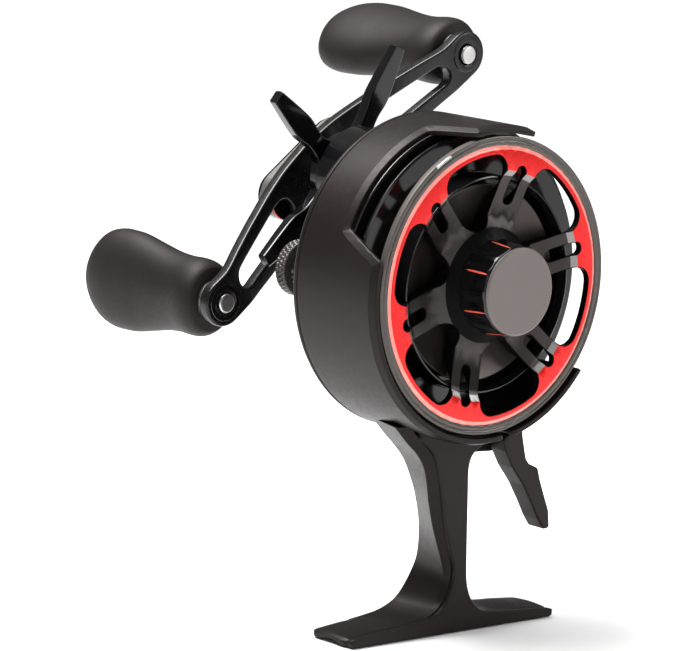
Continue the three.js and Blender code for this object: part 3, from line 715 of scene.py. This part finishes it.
def spool_body():
    profile = [(BORE, 8.0), (22.3, 8.0), (22.3, 3.2), (22.95, 1.8), (23.3, 1.95), (23.3, 8.3), (31.0, 8.3)]
    profile += [(31.5, 8.6), (31.5, 9.1), (31.2, 9.3), (BORE, 9.3)]
    turned(
        "spool_drum_look", profile, GLOSS, "spool", "spool_drum", "gloss", closed=True, segments=144,
        soft=0.12,
    )
    dish = [(8.95, 7.2), (12.5, 7.15), (16, 6.7), (19, 5.8), (21.0, 4.75), (21.3, 4.95), (21.2, 5.4)]
    dish += [(19.2, 6.6), (16.2, 7.5), (13, 7.9), (8.95, 7.9)]
    turned(
        "spool_dish_look", dish, DISH_METAL, "spool", "spool_dish", "machined", closed=True, segments=120,
        soft=0.15,
    )


def line_clip():
    """A small bright tab let into the rim, which holds the line's end."""
    start, end = math.radians(117), math.radians(125)
    outline = arc((0, 0), 31.9, start, end, 9) + arc((0, 0), 31.45, end, start, 9)
    bm = panel(outline, [], lambda u, v: (u, -0.12, v), lambda u, v: (u, 0.6, v), bevel=0.1)
    finish_mesh("line_clip", bm, STEEL, "spool")


spool_face()
spool_body()
line_clip()


# ---------------------------------------------------------------- brake dial

RIDGES = 14
TICK_START = math.radians(103)
DIAL_FRONT = 9.4
CAP_BACK = DIAL_FACE + 0.66
SIDE_FRONT = DIAL_FACE + 0.85
SIDE_BACK = 0.95
FLUTES_FROM = DIAL_FACE + 1.0
FLUTE_RUN = 2.2
FLUTE_DEPTH = 0.45
TICK_FRONT = -6.7
TICK_LENGTH = 5.9
TICK_HALF = 0.3


def side_radius(depth):
    """Radius of the dial's side before it is fluted."""
    return 9.42 + 0.88 * (depth - SIDE_FRONT) / (SIDE_BACK - SIDE_FRONT)


def dial():
    def flute(angle, radius, depth):
        if radius < 9.0 or depth < FLUTES_FROM:
            return radius
        along = min(1.0, (depth - FLUTES_FROM) / FLUTE_RUN)
        wave = 0.5 - 0.5 * math.cos(RIDGES * (angle - TICK_START))
        return radius - FLUTE_DEPTH * along * wave**1.4

    front = CAP_BACK + 0.06
    side = [(side_radius(depth), depth) for depth in np.linspace(SIDE_FRONT, SIDE_BACK, 10)]
    profile = [(0, front), (9.1, front)] + side + [(8.7, 1.0), (8.6, -1.0), (2.2, -1.0), (0, -1.0)]
    turned(
        "dial_grip", profile, GLOSS, "dial", "brake_dial", "gloss", segments=224, soft=0.0, shape=flute,
        angle=40,
    )
    cap = [(0, DIAL_FACE), (9.0, DIAL_FACE), (DIAL_FRONT, DIAL_FACE + 0.3), (DIAL_FRONT, CAP_BACK)]
    cap += [(0, CAP_BACK)]
    turned("dial_cap", cap, FACE_METAL, "dial", "dial_face", "machined", segments=144, soft=0.12)
    for i in range(RIDGES // 2):
        dial_tick(i + 1, TICK_START + 2 * TAU * i / RIDGES)


def dial_tick(number, angle):
    """A thin painted line let into one ridge of the dial."""
    sections = []
    for t in np.linspace(0, 1, 9):
        depth = TICK_FRONT + TICK_LENGTH * t
        radius = side_radius(depth) + 0.01
        half = TICK_HALF * math.sqrt(max(0.02, 1 - (2 * t - 1) ** 4))
        ring = []
        for across, rise in ((-1, -0.15), (-0.6, 0.03), (0.6, 0.03), (1, -0.15), (0, -0.3)):
            turn = angle + across * half / radius
            ring.append(((radius + rise) * math.cos(turn), depth, (radius + rise) * math.sin(turn)))
        sections.append(ring)
    bm = loft(sections)
    sharpen(bm, 60)
    finish_mesh(f"dial_tick_{number}", bm, RED_PAINT, "dial")


dial()


# ---------------------------------------------------------------- housing

BAND_IN = CASE - 1.6
BAND_STEPS = 144
BAND_BEVEL = 0.2
CHAMFER = 1.7
CHAMFER_DROP = 0.55
OPEN_FROM, OPEN_TO = -36.7, 73.5
GAP_FROM, GAP_TO = -81.0, -76.0
GAP_DEPTH = CASE_FRONT - 5


def band_point(degrees, depth):
    """A place on the band in the flat ring that it is cut from, the same size all round near the casing."""
    radius = CASE * math.exp((CASE_BACK - depth) / CASE)
    angle = math.radians(degrees)
    return radius * math.cos(angle), radius * math.sin(angle)


def band_place(u, v):
    radius = math.hypot(u, v)
    return math.atan2(v, u), CASE_BACK - CASE * math.log(radius / CASE)


def band_scale(points):
    return np.hypot(points[:, 0], points[:, 1]) / CASE


def band_front_edge():
    """The band's front edge round the casing, as (degrees, depth)."""
    corners = [(OPEN_FROM, LIP), (OPEN_FROM, CASE_FRONT), (OPEN_TO, CASE_FRONT), (OPEN_TO, LIP)]
    corners += [(103, LIP), (108, CASE_FRONT), (158.3, CASE_FRONT), (167.7, LIP)]
    corners += [(GAP_FROM + 360, LIP), (GAP_FROM + 360, GAP_DEPTH), (GAP_TO + 360, GAP_DEPTH)]
    corners += [(GAP_TO + 360, LIP), (OPEN_FROM + 360, LIP)]
    degree = math.radians(1) * CASE
    flat = [(d * degree, y) for d, y in corners]
    rounded = [flat[0]] + fillet(flat, 1.2, steps=4)[1:-1]
    spread = []
    for (x0, y0), (x1, y1) in zip(rounded, rounded[1:] + [flat[-1]]):
        count = max(1, math.ceil(abs(x1 - x0) / (2.5 * degree)))
        for k in range(count):
            spread.append(((x0 + (x1 - x0) * k / count) / degree, y0 + (y1 - y0) * k / count))
    return spread


def guard_band():
    outer = [band_point(d, y) for d, y in band_front_edge()]
    degrees = [360 * k / BAND_STEPS for k in range(BAND_STEPS)]
    hole = [band_point(d, CASE_BACK) for d in degrees]
    guides = [(offset_loop(outer, CHAMFER, band_scale), True)]
    guides += [([band_point(d, depth) for d in degrees], True) for depth in (4.5, 8, 13.2, 16, 19, 22)]
    guides += [([band_point(d, LIP - 2), band_point(d, CASE_BACK + 1)], False) for d in degrees]
    rim = np.array(outer)
    rim_next = np.roll(rim, -1, 0)

    def reach(u, v):
        """Distance from the front edge in millimetres on the band."""
        p = np.array((u, v))
        line = rim_next - rim
        t = np.clip(((p - rim) * line).sum(1) / (line * line).sum(1), 0, 1)
        near = np.linalg.norm(rim + line * t[:, None] - p, axis=1).min()
        return near / (math.hypot(u, v) / CASE)

    def front(u, v):
        angle, depth = band_place(u, v)
        radius = CASE - max(0.0, 1 - reach(u, v) / CHAMFER) * CHAMFER_DROP
        return radius * math.cos(angle), depth, radius * math.sin(angle)

    def back(u, v):
        angle, depth = band_place(u, v)
        return BAND_IN * math.cos(angle), depth, BAND_IN * math.sin(angle)

    def on_chamfer_line(u, v):
        return abs(reach(u, v) - CHAMFER) < 0.1

    bm = panel(
        outer, [hole], front, back, bevel=BAND_BEVEL, guides=guides, scale=band_scale, seam=on_chamfer_line
    )
    finish_mesh("guard_band", bm, SATIN, "frame_body", "frame")


def case_piece(name, profile, look, node=None, **options):
    turned(name, profile, look, "frame_body", node, "casting", **options)


def gear_case():
    plate = [(6, 10.5), (BAND_IN + 0.3, 10.5), (BAND_IN + 0.3, 12.4), (6, 12.4)]
    case_piece("case_plate", plate, GLOSS, closed=True, segments=120, soft=0.3)
    cover = [(0, 23.9), (CASE - 0.3, 23.9), (CASE, 24.2), (CASE, 24.8), (CASE - 0.5, 25.6)]
    cover += [(CASE - 2.2, 26.5), (CASE - 4.6, COVER_BACK), (0, COVER_BACK)]
    case_piece("rear_cover_look", cover, SATIN, "rear_cover", segments=160, soft=0.3)
    boss = [(0, 27.0), (12.9, 27.0), (12.7, 28.2), (11.7, 29.6), (11.5, 31), (11.5, BOSS_BACK - 0.5)]
    boss += [(11.1, BOSS_BACK), (6.6, BOSS_BACK), (6.6, BOSS_BACK - 0.8), (0, BOSS_BACK - 0.8)]
    case_piece("drive_boss", boss, GLOSS, centre=(0, DRIVE_UP), segments=96, soft=0.25)
    lobe = [(0, 26.5), (5.6, 26.5), (5.0, 28), (5.0, 35.9), (4.6, 36.4), (0, 36.4)]
    case_piece("click_boss", lobe, GLOSS, centre=(click.x, click.z), segments=48, soft=0.3)


guard_band()
gear_case()


# ---------------------------------------------------------------- stem and foot

STEM_FRONT = 6.0
PLATE_BACK = 7.6
STEM_BACK = 19.4
FOOT_HALF = 29.6
TIP_ROUND = 2.2  # length over which the foot's tips are rounded in plan


def stem():
    """The blade under the casing."""
    levels = [
        # z, then the x of front left, front right, flute, back left and back right
        (-30.0, -15.0, 13.0, -18.5, -15.5, 11.0),
        (-34.0, -11.6, 8.2, -14.6, -11.6, 7.0),
        (-37.0, -8.6, 4.3, -11.3, -8.4, 3.6),
        (-40.1, -6.9, 2.2, -9.2, -5.6, 1.4),
        (-44.0, -6.0, 1.6, -8.1, -3.4, 1.0),
        (-48.0, -5.2, 1.7, -7.3, -1.7, 1.0),
        (-53.5, -3.9, 2.0, -5.7, -0.2, 1.3),
        (-58.5, -2.3, 2.3, -3.7, 0.2, 1.6),
        (-62.3, -1.4, 2.5, -2.3, -0.2, 1.8),
        (-65.0, -1.4, 2.8, -1.9, -1.4, 2.2),
        (-67.6, -2.2, 3.4, -2.7, -3.0, 3.0),
        (-70.2, -3.6, 4.8, -4.1, -5.1, 4.6),
        (-71.8, -5.6, 6.6, -6.1, -7.4, 6.6),
        (-73.2, -9.5, 10.5, -10.0, -11.5, 10.5),
        (-74.2, -18.0, 18.0, -18.5, -19.0, 18.0),
    ]
    sections = []
    for z, fl, fr, flute, bl, br in smooth_path(levels, 70):
        corners = [
            (fl, PLATE_BACK - 0.6),
            (fr, PLATE_BACK - 0.6),
            (fr + 0.1, PLATE_BACK + 1.6),
            (br, STEM_BACK),
            (bl, STEM_BACK),
            (flute, PLATE_BACK + 0.9),
        ]
        ring = fillet(corners, 0.45, steps=3, closed=True, least=-1)
        sections.append([(x, y, z) for x, y in ring])
    bm = loft(sections)
    sharpen(bm, 34)
    finish_mesh("stem", bm, SATIN, "frame_body")


def front_plate():
    """The flat front of stem and foot, one outline with a fillet on each side."""
    right = [(FOOT_HALF - 0.3, FLOOR + 1.6), (27, FLOOR + 2.0), (18, FLOOR + 2.7), (10.3, FLOOR + 3.5)]
    right += [(7.2, FLOOR + 4.3), (5.0, -70.2), (3.7, -68.0), (2.9, -65.2), (2.6, -61.5), (2.2, -54)]
    right += [(1.8, -45.3), (1.6, -41.2), (2.2, -38.4), (3.9, -36.6), (7.0, -35.2), (12.0, -33.6)]
    top = [(12.0, -31.5), (-14.0, -31.5)]
    left = [(-12.0, -33.6), (-8.8, -36.4), (-7.1, -39.8), (-5.6, -45.6), (-3.9, -53.5), (-1.9, -59.6)]
    left += [(-0.9, -62.4), (-1.0, -64.8), (-1.9, -67.6), (-3.3, -70.3), (-5.2, -71.9), (-7.8, -72.8)]
    left += [(-12, -73.4), (-16, -73.8), (-22, FLOOR + 2.35), (-FOOT_HALF + 0.3, FLOOR + 1.7)]
    bottom = [(-FOOT_HALF + 0.3, FLOOR + 0.35), (-FOOT_HALF + 1.2, FLOOR), (FOOT_HALF - 1.2, FLOOR)]
    bottom += [(FOOT_HALF - 0.3, FLOOR + 0.35)]
    outline = [tuple(p) for p in smooth_path(right, 60)] + top
    outline += [tuple(p) for p in smooth_path(left, 60)] + bottom
    bm = panel(outline, [], lambda u, v: (u, STEM_FRONT, v), lambda u, v: (u, PLATE_BACK, v), crease=20)
    finish_mesh("front_plate", bm, SATIN, "frame_body")


def foot():
    """The foot's blade: thin rounded tips with a hollow underside that beds on a round handle."""
    thick_at = [0, 8, 14, 22, FOOT_HALF - 0.8, FOOT_HALF]
    thick_is = [4.2, 3.6, 2.75, 2.3, 1.65, 1.15]
    shares = [j / 10 for j in range(11)]
    sections = []
    for k in range(81):
        x = FOOT_HALF * math.sin(math.pi * (k / 80 - 0.5))
        reach = abs(x)
        thick = float(np.interp(reach, thick_at, thick_is))
        arch = 0.9 * max(0.0, (reach - 10) / (FOOT_HALF - 10)) ** 0.8
        near_tip = max(0.0, reach - (FOOT_HALF - TIP_ROUND)) / TIP_ROUND
        inward = 1.9 * (1 - math.sqrt(max(0.0, 1 - near_tip * near_tip)))
        front = PLATE_BACK - 1.1 + inward + (0.2 if near_tip else 0)
        back = STEM_BACK - inward
        under, over = [], []
        for t in shares:
            y = front + (back - front) * t
            rise = arch * math.sin(math.pi * t)
            at_edge = t in (0, 1)
            under.append((x, y, FLOOR + rise + (0.35 if at_edge else 0)))
            over.append((x, y, FLOOR + thick + 0.45 * rise - (0.3 if at_edge else 0)))
        sections.append(under + over[::-1])
    bm = loft(sections)
    sharpen(bm, 50)
    finish_mesh("foot", bm, SATIN, "frame_body")


stem()
front_plate()
foot()


# ---------------------------------------------------------------- trigger

LEVER = [
    # x and z down the lever's front to its tip, then back up behind
    (9.7, -34.6), (10.6, -37.4), (12.9, -41.2), (16.4, -45.4), (19.4, -50.0), (21.4, -53.4),
    (23.4, -56.0), (25.2, -55.8), (24.6, -51.8), (23.0, -48.2), (21.5, -44.7), (20.6, -42.0),
    (17.9, -40.8), (16.9, -39.6), (16.2, -37.2), (15.5, -34.4), (15.3, -32.5), (12.0, -33.1),
]


def trigger():
    outline = fillet(LEVER, 1.0, steps=4, closed=True, least=3)
    bm = panel(outline, [], lambda u, v: (u, 4.3, v), lambda u, v: (u, 9.3, v), bevel=0.4, crease=20)
    finish_mesh("trigger_look", bm, SATIN, "trigger", "trigger_lever")
    pin = [(0, 9.32), (1.15, 9.32), (1.15, 17.6), (0, 17.6)]
    turned(
        "trigger_axle", pin, SATIN, "frame_body", "trigger_pin", "steel", centre=(hinge.x, hinge.z),
        segments=32, soft=0.1,
    )
    lug = [(2, -38.0), (11, -38.5), (14, -38.5), (15.6, -37.4), (15.4, -34.6), (11, -31.2), (2, -32.6)]
    outline = fillet(lug, 0.8, closed=True)
    bm = panel(outline, [], lambda u, v: (u, 9.85, v), lambda u, v: (u, 13.7, v), bevel=0.5)
    finish_mesh("trigger_lug", bm, SATIN, "frame_body")


trigger()


# ---------------------------------------------------------------- crank

SWEEP = [(0, 56.0), (9, 55.9), (16, 54.6), (25, 52.0), (33, 49.6), (37.3, 48.0), (60, 48.0)]
SWEEP_SOFT = 2.0  # length over which the arm's bends are evened out
ARM_WIDTHS = [(0, 8.4), (8, 7.8), (16, 7.1), (26, 6.4), (34, 5.6), (HALF_SPAN - 4, 5.15), (HALF_SPAN, 5.2)]
ARM_THICK = 2.8
ARM_STEP = 2.2
LOBE = 5.2
LOBE_FRONT = 48.0
SLOT_NEAR, SLOT_FAR, SLOT_WIDE, SLOT_NARROW = 15.0, 33.6, 3.7, 2.6


def on_crank(u, y, v):
    """From crank coordinates, u along the arm and v across it, to the spool frame."""
    c, s = math.cos(CRANK_ANGLE), math.sin(CRANK_ANGLE)
    return drive.x + u * c - v * s, y, drive.z + u * s + v * c


def read(table, x):
    """The second column of a table at x in its first."""
    return float(np.interp(x, [p[0] for p in table], [p[1] for p in table]))


def sweep(u):
    """Depth of the arm's front face, smooth along its length."""
    places = [max(0, abs(u) + d * SWEEP_SOFT) for d in (-1, -0.5, 0, 0.5, 1)]
    return float(np.mean([read(SWEEP, x) for x in places]))


def arm_outline():
    xs = [HALF_SPAN - 2 - k * ARM_STEP for k in range(int((HALF_SPAN - 2) / ARM_STEP) + 1)]
    half_turn = arc((HALF_SPAN, 0), LOBE, -QUARTER, QUARTER, 19)
    upper = [(x, read(ARM_WIDTHS, x)) for x in xs]
    upper += [(-x, read(ARM_WIDTHS, x)) for x in xs[::-1] if x > 0.5]
    return half_turn + upper + [(-x, -y) for x, y in half_turn + upper]


def arm_slot(sign):
    sides = [(SLOT_NEAR, SLOT_WIDE), (SLOT_FAR, SLOT_NARROW)]
    points = arc((SLOT_FAR, 0), SLOT_NARROW, -QUARTER, QUARTER, 11)
    points += [(x, read(sides, x)) for x in np.arange(SLOT_FAR - 2, SLOT_NEAR, -ARM_STEP)]
    points += arc((SLOT_NEAR, 0), SLOT_WIDE, QUARTER, 3 * QUARTER, 13)
    points += [(x, -read(sides, x)) for x in np.arange(SLOT_NEAR + 2, SLOT_FAR, ARM_STEP)]
    return [(sign * x, sign * y) for x, y in points]


def crank():
    holes = [arm_slot(1), arm_slot(-1), circle(3.1, 32)]
    holes += [circle(2.2, 32, (sign * HALF_SPAN, 0)) for sign in (-1, 1)]
    lines = [([(x, -12), (x, 12)], False) for x in np.arange(-46, 46.1, 1.15)]
    bm = panel(
        arm_outline(),
        holes,
        lambda u, v: on_crank(u, sweep(u), v),
        lambda u, v: on_crank(u, sweep(u) + ARM_THICK, v),
        bevel=0.55,
        guides=lines,
        crease=20,
    )
    finish_mesh("crank_look", bm, SEMI, "crank", "crank_arm")
    crank_end("left", -1)
    crank_end("right", 1)


def crank_end(side, sign):
    """The rivet at one end of the arm, the ring round it and the collar behind it."""
    x, _, z = on_crank(sign * HALF_SPAN, 0, 0)
    front = LOBE_FRONT
    ring = [(2.6, front + 0.2), (2.9, front - 0.12), (3.9, front - 0.12), (4.2, front + 0.2)]
    turned(
        f"rivet_ring_{side}", ring, GLOSS, "crank", slot="casting", centre=(x, z), closed=True, segments=48,
        soft=0.08,
    )
    head = [(0, front - 0.7), (1.85, front - 0.7), (2.1, front - 0.45), (2.1, front + 5), (0, front + 5)]
    turned(
        f"rivet_{side}", head, STEEL, "crank", f"knob_post_{side}", "steel", centre=(x, z), segments=40,
        soft=0.2,
    )
    collar = [(2.3, 50.95), (4.1, 50.95), (4.5, 51.3), (4.5, 52.0), (4.1, 52.3), (2.3, 52.3)]
    turned(
        f"collar_{side}", collar, STEEL, "crank", f"knob_collar_{side}", "steel", centre=(x, z), closed=True,
        segments=48, soft=0.1,
    )


def nut_cover():
    """A stack of four plates over the handle nut, the last a little smaller."""
    end = arc((9, 0), 5.6, -QUARTER, QUARTER, 15)
    stadium = end + [(-x, -y) for x, y in end]
    screw_hole = circle(1.3, 24, (-9, 0))
    for name, front, back, inset, looks, node, slot in (
        ("nut_cover_base", 58.9, 59.5, 0.0, (GLOSS, RED_PAINT), None, "anodised"),
        ("nut_cover_black", 59.5, 60.6, 0.0, (GLOSS, GLOSS), None, "gloss"),
        ("nut_cover_look", 60.6, 62.9, 0.0, (DRIVE_METAL, DRIVE_METAL), "nut_cover", "machined"),
        ("nut_cover_top", 63.0, 64.2, 0.5, (GLOSS, GLOSS), "nut_cover_cap", "gloss"),
    ):
        bm = panel(
            offset_loop(stadium, inset),
            [screw_hole],
            lambda u, v, y=front: on_crank(u, y, v),
            lambda u, v, y=back: on_crank(u, y, v),
            bevel=0.18,
            wall_index=1,
        )
        finish_mesh(name, bm, looks, "crank", node)


crank()
nut_cover()


# ---------------------------------------------------------------- knobs

KNOB_LEVELS = [
    # share of length, wide half axis, thick half axis
    (0.0, 7.0, 6.1),
    (0.02, 7.7, 6.7),
    (0.06, 8.4, 7.1),
    (0.12, 8.6, 7.1),
    (0.22, 8.5, 6.6),
    (0.34, 8.9, 6.3),
    (0.5, 10.1, 6.2),
    (0.62, 11.0, 6.4),
    (0.72, 11.22, 6.5),
    (0.8, 11.1, 6.5),
    (0.88, 10.3, 6.2),
    (0.94, 8.7, 5.6),
    (0.98, 6.6, 4.8),
    (1.0, 4.4, 3.8),
]
KNOB_FRONT = 52.5
KNOB_END = 92.0
KNOB_STEPS = 64


def knob(side, sign, roll):
    x0, _, z0 = on_crank(sign * HALF_SPAN, 0, 0)
    sections = []
    for share, wide, thick in smooth_path(KNOB_LEVELS, KNOB_STEPS):
        y = KNOB_FRONT + (KNOB_END - KNOB_FRONT) * share
        angles = [TAU * k / KNOB_STEPS for k in range(KNOB_STEPS)]
        oval = rotate([(wide * math.cos(a), thick * math.sin(a)) for a in angles], roll)
        sections.append([(x0 + u, y, z0 + v) for u, v in oval])
    bm = loft(sections)
    sharpen(bm, 40)
    body = f"paddle_{side}"
    finish_mesh(f"knob_{side}_look", bm, RUBBER, body, f"knob_{side}", weighted=False)
    cap = [(0, 91.6), (3.3, 91.6), (3.3, 92.0), (2.9, 92.28), (0, 92.28)]
    turned(
        f"knob_plug_{side}", cap, GLOSS, body, f"knob_cap_{side}", "gloss", centre=(x0, z0), segments=40,
        soft=0.1,
    )


knob("left", -1, math.radians(90))
knob("right", 1, math.radians(30))


# ---------------------------------------------------------------- star drag

STAR_COUNT = 5
STAR_START = math.radians(70)
PRONG = [
    # reach, depth, half thickness, half width
    (6.0, 48.7, 1.45, 4.6),
    (9.0, 48.7, 1.45, 3.2),
    (11.5, 48.6, 1.4, 2.2),
    (14.5, 48.2, 1.4, 2.05),
    (18.0, 47.7, 1.4, 2.65),
    (22.0, 47.1, 1.35, 2.45),
    (29.4, 46.0, 1.2, 1.6),
    (30.2, 45.9, 1.1, 1.45),
]


def star():
    hub = [(3.1, 47.2), (9.3, 47.2), (9.8, 47.7), (9.8, 49.7), (9.3, 50.2), (3.1, 50.2)]
    turned(
        "star_hub", hub, GLOSS, "star", "drag_star", "gloss", centre=(0, DRIVE_UP), closed=True, segments=80,
        soft=0.25,
    )
    for i in range(STAR_COUNT):
        angle = STAR_START + TAU * i / STAR_COUNT
        c, s = math.cos(angle), math.sin(angle)
        sections = []
        for reach, depth, thick, wide in smooth_path(PRONG, 30):
            corners = [(-wide, -thick), (wide, -thick), (wide, thick), (-wide, thick)]
            ring = fillet(corners, 0.5, steps=3, closed=True, least=-1)
            sections.append([(reach * c - w * s, depth + d, DRIVE_UP + reach * s + w * c) for w, d in ring])
        bm = loft(sections)
        sharpen(bm, 40)
        finish_mesh(f"star_prong_{i + 1}", bm, GLOSS, "star")


star()


# ---------------------------------------------------------------- clicker


KNURLS = 36
KNURL_LEAD = 9
KNURL_DEPTH = 0.16
GRIP_FRONT, GRIP_BACK = 36.95, 40.05
GRIP_LENGTH = GRIP_BACK - GRIP_FRONT


def click_grip():
    """A knurled ring: two sets of crossing grooves raise small diamonds."""

    def knurl(angle, radius, depth):
        if radius < 6.0:
            return radius
        lead = KNURL_LEAD * (depth - GRIP_FRONT) / GRIP_LENGTH
        crests = max(math.cos(KNURLS * angle + lead), math.cos(KNURLS * angle - lead))
        return radius - KNURL_DEPTH * (1 - crests)

    side = [(6.12, GRIP_FRONT + 0.3 + (GRIP_LENGTH - 0.6) * k / 14) for k in range(15)]
    profile = [(0, GRIP_FRONT), (5.7, GRIP_FRONT)] + side
    profile += [(5.7, GRIP_BACK), (3.4, GRIP_BACK), (3.0, GRIP_BACK - 0.5), (0, GRIP_BACK - 0.5)]
    turned(
        "click_grip", profile, DARK_METAL, "clicker", "click_knob", "machined", centre=(click.x, click.z),
        segments=288, soft=0.0, shape=knurl, angle=50,
    )


click_grip()


# ---------------------------------------------------------------- camera, light and floor

CAMERA_PLACE = (-0.57008, -0.60944, 0.20683)
CAMERA_HEADING = math.radians(-41.4607)
CAMERA_TILT = math.radians(80.3357)
CAMERA_ROLL = math.radians(3.0043)
FLOOR_SIZE = 6.0


def camera():
    data = bpy.data.cameras.new("camera")
    data.lens = 209.81
    data.sensor_width = 36
    data.clip_start, data.clip_end = 0.01, 20
    cam = add("camera", data)
    turn = Matrix.Rotation(CAMERA_HEADING, 4, "Z")
    turn @= Matrix.Rotation(CAMERA_TILT, 4, "X")
    turn @= Matrix.Rotation(CAMERA_ROLL, 4, "Z")
    cam.matrix_world = Matrix.Translation(CAMERA_PLACE) @ turn
    bpy.context.scene.camera = cam


def aim(lamp, direction):
    lamp.rotation_euler = Vector(direction).to_track_quat("-Z", "Y").to_euler()


def area_light(name, place, target, size, power):
    data = bpy.data.lights.new(name, "AREA")
    data.shape = "RECTANGLE"
    data.size, data.size_y = size
    data.energy = power
    lamp = add(name, data)
    lamp.location = place
    aim(lamp, Vector(target) - Vector(place))


def lights():
    centre = (0, 0, 0.07)
    sky = bpy.data.lights.new("sky_light", "SUN")
    sky.energy = 3.2
    sky.angle = math.radians(60)
    aim(add("sky_light", sky), (0.15, -0.25, -1))
    area_light("key_top", (-0.15, 0.2, 0.6), centre, (0.35, 0.3), 7.0)
    area_light("fill_left", (-0.85, -0.3, 0.35), centre, (0.25, 0.5), 0.5)
    area_light("fill_front", (-0.1, -0.9, 0.4), centre, (0.4, 0.4), 0.9)
    area_light("brush_light", (0.55, -0.42, 0.5), centre, (0.3, 0.2), 1.2)
    area_light("near_right", (0.17, -0.17, 0.17), (0.02, -0.015, 0.09), (0.08, 0.08), 0.16)


def surroundings():
    """A white backdrop for the camera that lights the object only dimly."""
    world = bpy.data.worlds.new("studio")
    bpy.context.scene.world = world
    world.use_nodes = True
    tree = world.node_tree
    backdrop = tree.nodes["Background"]
    backdrop.inputs["Color"].default_value = (1, 1, 1, 1)
    dim = tree.nodes.new("ShaderNodeBackground")
    dim.inputs["Color"].default_value = (1, 1, 1, 1)
    dim.inputs["Strength"].default_value = 0.2
    mix = tree.nodes.new("ShaderNodeMixShader")
    path = tree.nodes.new("ShaderNodeLightPath")
    tree.links.new(path.outputs["Is Camera Ray"], mix.inputs["Fac"])
    tree.links.new(dim.outputs["Background"], mix.inputs[1])
    tree.links.new(backdrop.outputs["Background"], mix.inputs[2])
    tree.links.new(mix.outputs["Shader"], tree.nodes["World Output"].inputs["Surface"])
    bpy.context.scene.view_settings.view_transform = "Standard"


def floor():
    look = grained(
        "pale_floor", (0.86, 0.86, 0.86), (0.88, 0.88, 0.88), 0.7, (0.65, 0.75),
        ((6,), (40,), (300,)), (0.02, 0.05),
    )
    bm = bmesh.new()
    bmesh.ops.create_grid(bm, x_segments=12, y_segments=12, size=FLOOR_SIZE)
    mesh = bpy.data.meshes.new("floor")
    bm.to_mesh(mesh)
    bm.free()
    mesh.materials.append(look)
    ground = add("floor", mesh)
    ground.location.z = -0.0002


camera()
lights()
surroundings()
floor()
